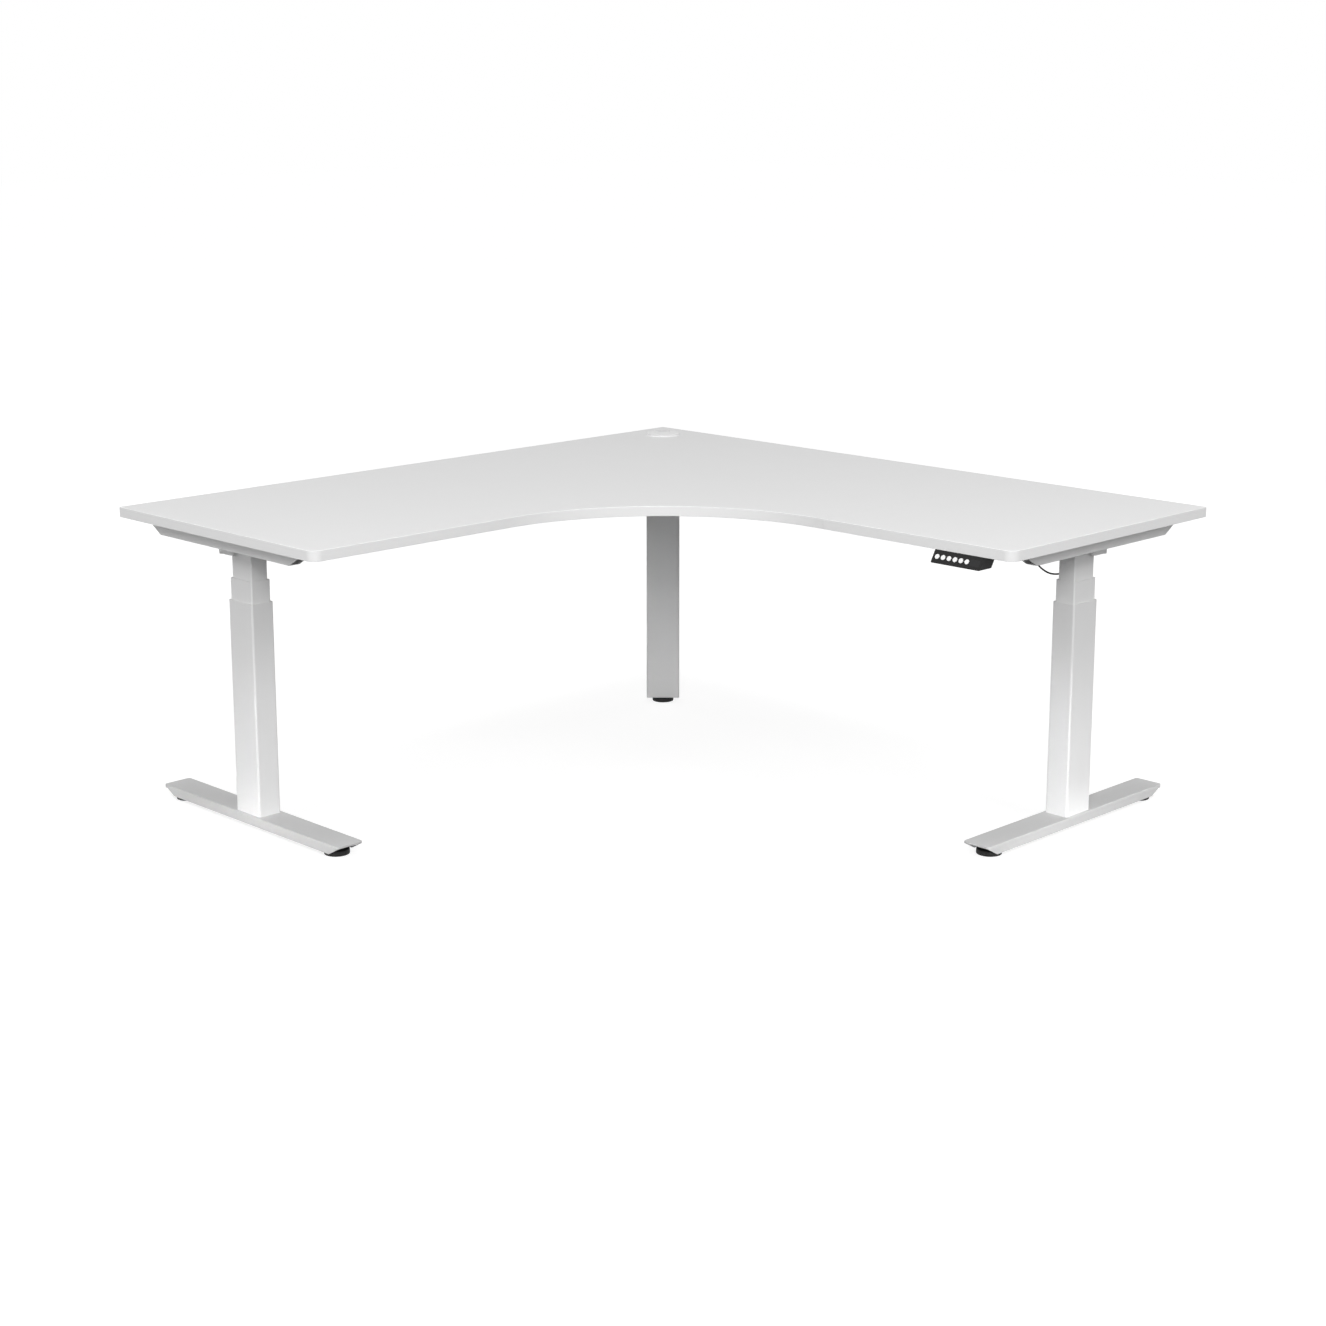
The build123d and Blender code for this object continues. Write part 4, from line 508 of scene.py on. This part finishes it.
@dataclass
class Fasteners:
    """All fasteners of one node, each with a domed head and a tool recess.

    Attributes:
        node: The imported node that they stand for.
        body: The body that they ride on.
        kinds: The kinds of fastener in the node.
        columns: Number of steps round each fastener.
    """

    node: str
    body: str
    kinds: tuple[HeadKind, ...]
    columns: int = 24

    def build(self, frame: dict) -> bpy.types.Object:
        """Make the fasteners over the places of the node's solids.


        Returns:
            The object that replaces the node.
        """
        shells = [self._shell(solid) for solid in islands(frame["nodes"][self.node])]
        piece = make_piece(f"{self.node}_headed", shells, ZINC_STEEL, self.body)
        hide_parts(self.node)
        return piece

    def _kind(self, solid: Island) -> HeadKind:
        """Return the kind whose head is nearest to the solid's width."""
        width = float(solid.high[0] - solid.low[0])
        return min(self.kinds, key=lambda kind: abs(kind.head - width))

    def _recess_radius(self, kind: HeadKind, angle: np.ndarray) -> np.ndarray:
        """Return the recess's radius at each angle.

        A hexagon's edge lies at its half width over the cosine of the angle from the
        nearest flat.  A cross swells at four angles and draws in between them.

        Args:
            kind: The kind of fastener.
            angle: Angles round the head.

        Returns:
            The radii.
        """
        half = kind.recess_size / 2.0
        if kind.recess is Recess.HEX:
            return half / np.cos((angle + np.pi / 6) % (np.pi / 3) - np.pi / 6)
        return half * (0.4 + 0.6 * np.abs(np.cos(2.0 * angle)) ** 5)

    def _shell(self, solid: Island) -> np.ndarray:
        """Return one fastener's surface, from the recess's floor round to the tip.

        A row of weight 0 is the recess's outline times the row's first number, and a row
        of weight 1 is a circle of that radius.

        Args:
            solid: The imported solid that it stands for.

        Returns:
            A grid of points.
        """
        kind = self._kind(solid)
        head, tall, shank = kind.head / 2.0, kind.height, kind.shank / 2.0
        length = float(solid.high[2] - solid.low[2]) - tall
        deep = kind.recess_depth
        rows = np.array([
            (0.0, tall - deep, 0.0),
            (0.6, tall - deep, 0.0),
            (0.96, tall - deep * 0.8, 0.0),
            (1.0, tall - deep * 0.05, 0.0),
            (1.04, tall, 0.0),
            (head * 0.72, tall, 1.0),
            (head * 0.86, tall * 0.93, 1.0),
            (head * 0.96, tall * 0.74, 1.0),
            (head, tall * 0.45, 1.0),
            (head, 0.0, 1.0),
            (shank, 0.0, 1.0),
            (shank, -length * 0.97, 1.0),
            (shank * 0.8, -length, 1.0),
            (0.0, -length, 1.0),
        ])

        def radius(profile: np.ndarray, angle: np.ndarray) -> np.ndarray:
            """Return the recess's outline or the row's circle, by the row's weight."""
            outline = profile[:, 0:1] * self._recess_radius(kind, angle)
            in_recess = profile[:, 2:3] < 0.5
            return np.where(in_recess, outline, plain_circle(profile, angle))

        shell = turned(rows, self.columns, radius)
        x, y, _ = solid.middle
        if solid.head_up:
            return shell + np.array([x, y, solid.high[2] - tall])
        return shell * np.array([1.0, -1.0, -1.0]) + np.array([x, y, solid.low[2] + tall])


# ------------------------------------------------------------------- levelling pads


@dataclass
class LevellingPads:
    """The round pads under the feet, each with finger grooves round its rim.

    Attributes:
        thickness: Thickness of the pad below its hub.
        hub: Radius of the hub.
        hub_rise: Height of the hub above the pad.
        stud: Radius of the stud.
        grooves: Number of grooves round a pad.
        groove_depth: Depth of a groove.
        step: Height of the groove-free lip at the floor.
        columns: Number of steps round a pad.
        places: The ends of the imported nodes' names.
    """

    thickness: float = 0.012
    hub: float = 0.008
    hub_rise: float = 0.002
    stud: float = 0.004
    grooves: int = 20
    groove_depth: float = 0.0007
    step: float = 0.0025
    columns: int = 160
    places: tuple[str, ...] = ("right_wall", "right_front", "left_wall", "left_front", "rear")

    def build(self) -> list[bpy.types.Object]:
        """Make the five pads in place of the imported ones."""
        return [self._pad(place) for place in self.places]

    def _pad(self, place: str) -> bpy.types.Object:
        """Make one pad.

        Args:
            place: The end of the node's name.

        Returns:
            The pad's object.
        """
        node = f"levelling_pad_{place}"
        low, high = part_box(node)
        rim = (high.x - low.x) / 2.0
        pad, hub, stud = self.thickness, self.hub, self.stud
        hub_top, top = pad + self.hub_rise, high.z
        rows = np.array([
            (0.0, 0.0008, 0.0),
            (rim * 0.55, 0.0008, 0.0),
            (rim * 0.58, 0.0, 0.0),
            (rim - 0.0014, 0.0, 0.0),
            (rim - 0.0004, 0.0004, 0.0),
            (rim, 0.0012, 0.0),
            (rim, self.step, 0.0),
            (rim, self.step + 0.0006, 1.0),
            (rim, pad - 0.0036, 1.0),
            (rim - 0.0004, pad - 0.0020, 0.7),
            (rim - 0.0013, pad - 0.0007, 0.2),
            (rim - 0.0030, pad, 0.0),
            (rim * 0.62, pad, 0.0),
            (rim * 0.60, pad - 0.0008, 0.0),
            (rim * 0.44, pad - 0.0008, 0.0),
            (rim * 0.42, pad, 0.0),
            (hub + 0.0006, pad, 0.0),
            (hub, pad + 0.0006, 0.0),
            (hub, hub_top, 0.0),
            (stud, hub_top, 0.0),
            (stud, top - 0.0006, 0.0),
            (stud - 0.0006, top, 0.0),
            (0.0, top, 0.0),
        ])

        def radius(profile: np.ndarray, angle: np.ndarray) -> np.ndarray:
            """Draw the radius in at each groove, by the row's weight."""
            dip = self.groove_depth * np.maximum(0.0, np.cos(self.grooves * angle)) ** 2
            return profile[:, 0:1] - profile[:, 2:3] * dip

        middle = np.array([(low.x + high.x) / 2.0, (low.y + high.y) / 2.0, 0.0])
        shell = turned(rows, self.columns, radius) + middle
        name, body = f"grooved_pad_{place}", f"pad_{place}"
        piece = make_piece(name, [shell], PAD_PLASTIC, body)
        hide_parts(node)
        return piece


# ----------------------------------------------------------------------- motor lead


@dataclass
class LeadGland:
    """The grommet in the motor cover, with a ribbed boot that tapers onto the lead.

    Attributes:
        neck: Radius of the neck inside the cover.
        neck_length: Length of the neck.
        head_length: Thickness of the head under the cover.
        head_round: Rounding of the head's upper edge.
        boot: Radius of the boot at the head.
        boot_taper: How much thinner the boot gets towards its tip.
        boot_length: Length of the boot.
        rib: Height of a rib on the boot.
        rib_rows: Number of rows along the boot, every other one a rib.
        columns: Number of steps round it.
    """

    neck: float = 0.0045
    neck_length: float = 0.0025
    head_length: float = 0.003
    head_round: float = 0.0006
    boot: float = 0.0035
    boot_taper: float = 0.0011
    boot_length: float = 0.011
    rib: float = 0.00035
    rib_rows: int = 15
    columns: int = 32

    def build(self, start: np.ndarray, lead: float) -> bpy.types.Object:
        """Make the gland round the lead's first stretch.

        The boot's radius falls in a straight line from its top to its tip, with a rib's
        height added at every other row.

        Args:
            start: The lead's first point.
            lead: The lead's radius.

        Returns:
            The gland's object.
        """
        low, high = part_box("lead_gland")
        head, top = (high.x - low.x) / 2.0, high.z
        cover = top - self.neck_length
        floor = cover - self.head_length
        tip = floor - self.boot_length
        share = np.linspace(0.0, 1.0, self.rib_rows)
        ribs = np.where(np.arange(self.rib_rows) % 2, 0.0, self.rib)
        taper = self.boot - self.boot_taper * share + ribs
        level = floor - self.boot_length * share
        rows = np.concatenate([
            [
                (0.0, top, 0.0),
                (self.neck, top, 0.0),
                (self.neck, cover, 0.0),
                (head - self.head_round, cover, 0.0),
                (head, cover - self.head_round, 0.0),
                (head, floor + 0.0008, 0.0),
                (head - 0.0010, floor, 0.0),
            ],
            np.column_stack([taper, level, np.zeros(self.rib_rows)]),
            [(lead, tip, 0.0), (0.0, tip, 0.0)],
        ])
        shell = turned(rows, self.columns, plain_circle) + np.array([start[0], start[1], 0.0])
        piece = make_piece("ribbed_gland", [shell], BLACK_RUBBER, "top")
        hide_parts("lead_gland")
        return piece


@dataclass
class LeadPlug:
    """The lead's plug, a rounded bar with grip ridges that narrows to its boot.

    Attributes:
        body_length: Length of the bar outside the control box.
        grip: Where the ridges start and how far from the bar's end they stop.
        ridge_rows: Number of rows along the grip, every other one a ridge.
        groove: Share by which the bar narrows between two ridges.
        boot: Radii of the boot from the bar to the lead.
        body_power: How square the bar's section is.
        boot_power: The same for the boot, where 2 is round.
        columns: Number of steps round it.
    """

    body_length: float = 0.016
    grip: tuple[float, float] = (0.004, 0.002)
    ridge_rows: int = 13
    groove: float = 0.07
    boot: tuple[float, ...] = (0.0035, 0.0027, 0.0023, 0.0)
    body_power: float = 6.0
    boot_power: float = 2.0
    columns: int = 48

    def build(self, end: float) -> bpy.types.Object:
        """Make the plug.

        The section is a superellipse: its two axes times cosine and sine, each to the
        power 2 / n, with n large on the bar and 2 on the boot, and its size follows a
        profile along the plug.

        Args:
            end: How far along the boot meets the lead.

        Returns:
            The plug's object.
        """
        low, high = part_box("motor_lead_plug")
        half_width, half_height = (high.y - low.y) / 2.0, (high.z - low.z) / 2.0
        centre_y, centre_z = (low.y + high.y) / 2.0, (low.z + high.z) / 2.0
        body_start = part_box("control_box")[1].x
        body_end = body_start + self.body_length
        ridges = np.linspace(body_start + self.grip[0], body_end - self.grip[1], self.ridge_rows)
        scale = np.where(np.arange(self.ridge_rows) % 2, 1.0 - self.groove, 1.0)
        body = np.concatenate([
            [low.x, low.x, low.x + 0.0006, body_start + 0.003], ridges,
            [body_end - 0.001, body_end],
        ])
        along = np.concatenate([body, [body_end, end - 0.001, end, end]])[:, None]
        wide = half_width * np.concatenate([[0.0, 0.94, 1.0, 1.0], scale, [1.0, 0.9]])
        tall = half_height * np.concatenate([[0.0, 0.9, 1.0, 1.0], scale, [1.0, 0.86]])
        wide = np.concatenate([wide, self.boot])[:, None]
        tall = np.concatenate([tall, self.boot])[:, None]
        powers = (self.body_power, self.boot_power)
        root = 2.0 / np.repeat(powers, (len(body), len(self.boot)))[:, None]
        angle = np.linspace(0.0, 2.0 * np.pi, self.columns, endpoint=False)[None, :]
        cosine, sine = np.cos(angle), np.sin(angle)
        shell = np.stack([
            along * np.ones_like(angle),
            centre_y + wide * np.sign(cosine) * np.abs(cosine) ** root,
            centre_z + tall * np.sign(sine) * np.abs(sine) ** root,
        ], -1)
        piece = make_piece("ridged_plug", [shell], BLACK_RUBBER, "top")
        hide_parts("motor_lead_plug")
        return piece


@dataclass
class MotorLead:
    """The thin lead from the right motor cover to the control box.

    Attributes:
        diameter: The lead's diameter.
        length: Its real length; not used.
        column: The right column's axis, and the level of the worktop's underside.
        route: Control points of its line, from the gland to the plug, as distances
            from the right column's axis along the wing and away from the wall, and from
            the worktop's underside upwards, in millimetres.
        gland: The gland that it leaves the motor cover by.
        plug: The plug at its far end.
    """

    diameter: float = 0.004
    length: float = 0.3006
    column: tuple[float, float, float] = (0.8, 0.525, 0.688)
    route: tuple[tuple[float, float, float], ...] = (
        (-52, -47, -56),
        (-52, -47, -77),
        (-52, -38, -97),
        (-53, -20, -105),
        (-54, 4, -103.5),
        (-55, 28, -97.5),
        (-55, 52, -85.5),
        (-56, 73, -69.5),
        (-57, 91, -51),
        (-59, 108, -33.5),
        (-64, 127, -21),
        (-78, 146, -15.5),
        (-97, 155, -15),
        (-117, 155, -15),
    )
    gland: LeadGland = field(default_factory=LeadGland)
    plug: LeadPlug = field(default_factory=LeadPlug)

    def points(self) -> np.ndarray:
        """Return the route's control points in world metres."""
        along, away, up = np.array(self.route, dtype=float).T / 1000.0
        x, y, z = self.column
        return np.stack([x + along, y - away, z + up], -1)

    def build(self) -> None:
        """Make the lead, its gland and its plug."""
        points = self.points()
        plug = self.plug.build(points[-1][0])
        self.gland.build(points[0], self.diameter / 2.0)
        line = bpy.data.curves.new("motor_lead_flex", "CURVE")
        line.dimensions = "3D"
        spline = line.splines.new("NURBS")
        spline.points.add(len(points) - 1)
        weights = np.column_stack([points, np.ones(len(points))])
        spline.points.foreach_set("co", weights.reshape(-1))
        spline.order_u = 3
        spline.use_endpoint_u = True
        line.resolution_u = 10
        line.bevel_depth = self.diameter / 2.0
        line.bevel_resolution = 5
        line.use_fill_caps = True
        line.materials.append(BLACK_RUBBER.material())
        lead = bpy.data.objects.new("motor_lead_flex", line)
        bpy.context.scene.collection.objects.link(lead)
        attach(lead, "top")
        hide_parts("motor_lead")
        LOG.info("motor lead: %d control points", len(points))


# -------------------------------------------------------------------------- studio


@dataclass
class Camera:
    """The viewing position: on the desk's diagonal, in front of it and above it.

    Attributes:
        corner: Worktop's back corner, in plan.
        distance: Level distance from the back corner.
        height: Height above the floor.
        pitch: Angle below the level, in degrees.
        sensor: Width of the sensor, in millimetres.
        lens: Focal length, in millimetres.
        shift: Vertical shift of the picture.
        reach: How far the camera sees.
    """

    corner: tuple[float, float] = (-0.9, 0.9)
    distance: float = 6.6954
    height: float = 1.7052
    pitch: float = 12.15
    sensor: float = 36.0
    lens: float = 63.98
    shift: float = -0.06285
    reach: float = 100.0

    def build(self) -> bpy.types.Object:
        """Make the scene's camera."""
        data = bpy.data.cameras.new("camera")
        data.lens = self.lens
        data.sensor_width = self.sensor
        data.shift_y = self.shift
        data.clip_end = self.reach
        camera = bpy.data.objects.new("camera", data)
        aside = self.distance * math.sqrt(0.5)
        camera.location = (self.corner[0] + aside, self.corner[1] - aside, self.height)
        camera.rotation_euler = (math.radians(90.0 - self.pitch), 0.0, math.radians(45.0))
        bpy.context.scene.collection.objects.link(camera)
        bpy.context.scene.camera = camera
        return camera


def rays_that_see(nodes: bpy.types.Nodes, links: bpy.types.NodeLinks) -> bpy.types.NodeSocket:
    """Tell the rays that show the background apart from those that carry its light.

    Args:
        nodes: The node tree's nodes.
        links: The node tree's links.

    Returns:
        A socket that is 1 for camera, glossy and transmission rays, and 0 for others.
    """
    path = nodes.new("ShaderNodeLightPath")
    socket = path.outputs["Is Camera Ray"]
    for kind in ("Is Glossy Ray", "Is Transmission Ray"):
        either = nodes.new("ShaderNodeMath")
        either.operation = "MAXIMUM"
        links.new(socket, either.inputs[0])
        links.new(path.outputs[kind], either.inputs[1])
        socket = either.outputs["Value"]
    return socket


@dataclass(frozen=True)
class Lamp:
    """A square or strip-shaped soft lamp, unseen itself.

    Attributes:
        name: The lamp's name.
        place: Where it hangs.
        size: Its side, or a strip's length.
        power: Its power in watts.
        aim: The place that it faces.
        spread: Width of its beam in degrees.
        strip: A strip's height, or none for a square lamp.
    """

    name: str
    place: tuple[float, float, float]
    size: float
    power: float
    aim: tuple[float, float, float] = (0.0, 0.0, 0.5)
    spread: float = 180.0
    strip: float | None = None

    def build(self) -> None:
        """Hang the lamp."""
        data = bpy.data.lights.new(self.name, "AREA")
        data.shape = "RECTANGLE"
        data.size = self.size
        data.size_y = self.strip or self.size
        data.energy = self.power
        data.spread = math.radians(self.spread)
        lamp = bpy.data.objects.new(self.name, data)
        lamp.location = self.place
        facing = Vector(self.aim) - Vector(self.place)
        lamp.rotation_euler = facing.to_track_quat("-Z", "Y").to_euler()
        lamp.visible_camera = False
        bpy.context.scene.collection.objects.link(lamp)


LAMPS = (
    Lamp("front_lamp", (3.37, -3.37, 3.25), 1.6, 60.0),
    Lamp("low_front_lamp", (3.65, -3.65, 2.38), 1.6, 42.0),
    Lamp("left_lamp", (0.0, -4.09, 4.18), 1.6, 40.0),
    Lamp("low_left_lamp", (0.0, -5.42, 1.46), 1.6, 31.0),
    Lamp("right_lamp", (4.09, 0.0, 4.18), 1.6, 52.0),
    Lamp("low_right_lamp", (5.29, 0.0, 2.02), 1.6, 25.0),
    Lamp("rear_left_lamp", (-5.0, 0.4, 0.9), 1.6, 34.0),
    Lamp("rear_right_lamp", (-0.4, 5.0, 0.9), 1.6, 34.0),
    Lamp("left_foot_lamp", (0.1, -2.0, 0.06), 0.3, 0.34, (-0.5, -0.8, 0.06), 34.0),
    Lamp("right_foot_lamp", (1.75, -0.4, 0.06), 0.3, 0.42, (0.8, 0.5, 0.06), 34.0),
    Lamp("left_foot_strip", (-0.45, -2.0, 0.02), 0.9, 0.075, (-0.525, -0.8, 0.03), 9.0, 0.03),
    Lamp("right_foot_strip", (2.0, 0.45, 0.02), 0.9, 0.075, (0.8, 0.525, 0.03), 9.0, 0.03),
    Lamp("rear_column_lamp", (0.6, -0.6, 0.06), 0.3, 0.13, (-0.64, 0.64, 0.25), 40.0),
)


@dataclass
class Studio:
    """A pale floor, a plain bright surround and soft lamps.

    Attributes:
        surround: Strength of the surround's light.
        overhead: Strength of the broad light from straight above.
        overhead_angle: How wide that light's source looks, in degrees.
        floor_colour: What the floor throws back on the desk.
        floor_shadow: How deep the desk's shadow shows on the floor.
        floor_lift: Plain white added to the floor as it is seen.
        floor_half: Half the floor's side.
        lamps: The soft lamps.
    """

    surround: float = 0.3
    overhead: float = 0.75
    overhead_angle: float = 20.0
    floor_colour: float = 0.12
    floor_shadow: float = 0.3
    floor_lift: float = 0.84
    floor_half: float = 30.0
    lamps: tuple[Lamp, ...] = LAMPS

    def build(self) -> None:
        """Make the surround, the floor and the lamps."""
        self._surround()
        self._overhead()
        self._floor()
        for lamp in self.lamps:
            lamp.build()

    def _surround(self) -> None:
        """Light the desk evenly from all round, and show plain white behind it."""
        world = bpy.data.worlds.new("surround")
        world.use_nodes = True
        nodes, links = world.node_tree.nodes, world.node_tree.links
        nodes.clear()
        seen = rays_that_see(nodes, links)
        light = nodes.new("ShaderNodeBackground")
        light.inputs["Color"].default_value = (1.0, 1.0, 1.0, 1.0)
        light.inputs["Strength"].default_value = self.surround
        plain = nodes.new("ShaderNodeBackground")
        plain.inputs["Color"].default_value = (1.0, 1.0, 1.0, 1.0)
        plain.inputs["Strength"].default_value = 1.0
        mix = nodes.new("ShaderNodeMixShader")
        links.new(seen, mix.inputs["Fac"])
        links.new(light.outputs["Background"], mix.inputs[1])
        links.new(plain.outputs["Background"], mix.inputs[2])
        out = nodes.new("ShaderNodeOutputWorld")
        links.new(mix.outputs["Shader"], out.inputs["Surface"])
        bpy.context.scene.world = world

    def _overhead(self) -> None:
        """Light the worktop and the whole floor evenly from straight above."""
        data = bpy.data.lights.new("overhead_light", "SUN")
        data.energy = self.overhead
        data.angle = math.radians(self.overhead_angle)
        bpy.context.scene.collection.objects.link(bpy.data.objects.new("overhead_light", data))

    def _floor(self) -> None:
        """Lay the floor, seen nearly white but with the desk's soft shadow kept."""
        half = self.floor_half
        mesh = bpy.data.meshes.new("floor")
        corners = [(-half, -half, 0.0), (half, -half, 0.0), (half, half, 0.0), (-half, half, 0.0)]
        mesh.from_pydata(corners, [], [(0, 1, 2, 3)])
        made = bpy.data.materials.new("studio_floor")
        made.use_nodes = True
        nodes, links = made.node_tree.nodes, made.node_tree.links
        nodes.clear()
        seen = rays_that_see(nodes, links)
        matte = nodes.new("ShaderNodeBsdfDiffuse")
        matte.inputs["Color"].default_value = (*(self.floor_colour,) * 3, 1.0)
        shown = nodes.new("ShaderNodeBsdfDiffuse")
        shown.inputs["Color"].default_value = (*(self.floor_shadow,) * 3, 1.0)
        lift = nodes.new("ShaderNodeEmission")
        lift.inputs["Color"].default_value = (1.0, 1.0, 1.0, 1.0)
        lift.inputs["Strength"].default_value = self.floor_lift
        bright = nodes.new("ShaderNodeAddShader")
        links.new(shown.outputs["BSDF"], bright.inputs[0])
        links.new(lift.outputs["Emission"], bright.inputs[1])
        mix = nodes.new("ShaderNodeMixShader")
        links.new(seen, mix.inputs["Fac"])
        links.new(matte.outputs["BSDF"], mix.inputs[1])
        links.new(bright.outputs["Shader"], mix.inputs[2])
        out = nodes.new("ShaderNodeOutputMaterial")
        links.new(mix.outputs["Shader"], out.inputs["Surface"])
        mesh.materials.append(made)
        floor = bpy.data.objects.new("floor", mesh)
        bpy.context.scene.collection.objects.link(floor)


# ---------------------------------------------------------------------------- desk


@dataclass
class Desk:
    """The whole desk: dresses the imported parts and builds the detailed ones."""

    frame: dict

    def dress(self) -> None:
        """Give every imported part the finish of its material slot."""
        slots = {part["node"]: part["material_slot"] for part in self.frame["record"]["subparts"]}
        for name, node in self.frame["nodes"].items():
            finish = NODE_FINISH.get(name, SLOT_FINISH[slots[name]])
            node.data.materials.clear()
            node.data.materials.append(finish.material())
        LOG.info("dressed %d packed parts", len(self.frame["nodes"]))

    def build(self) -> None:
        """Build the pieces with fine relief."""
        MotorLead().build()
        LevellingPads().build()
        Fasteners("worktop_screws", "top", (WOOD_SCREW,)).build(self.frame)
        Fasteners("frame_bolts", "top", (SOCKET_BOLT, COVER_SCREW)).build(self.frame)
        Fasteners("foot_bolts", "base", (SOCKET_BOLT,)).build(self.frame)


def main() -> None:
    """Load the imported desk, dress it and set up the studio."""
    logging.basicConfig(level=logging.INFO, format="%(name)s: %(message)s")
    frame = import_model()
    bpy.context.scene.view_settings.view_transform = "Standard"
    Camera().build()
    desk = Desk(frame)
    desk.dress()
    desk.build()
    Studio().build()


if __name__ == "__main__":
    main()
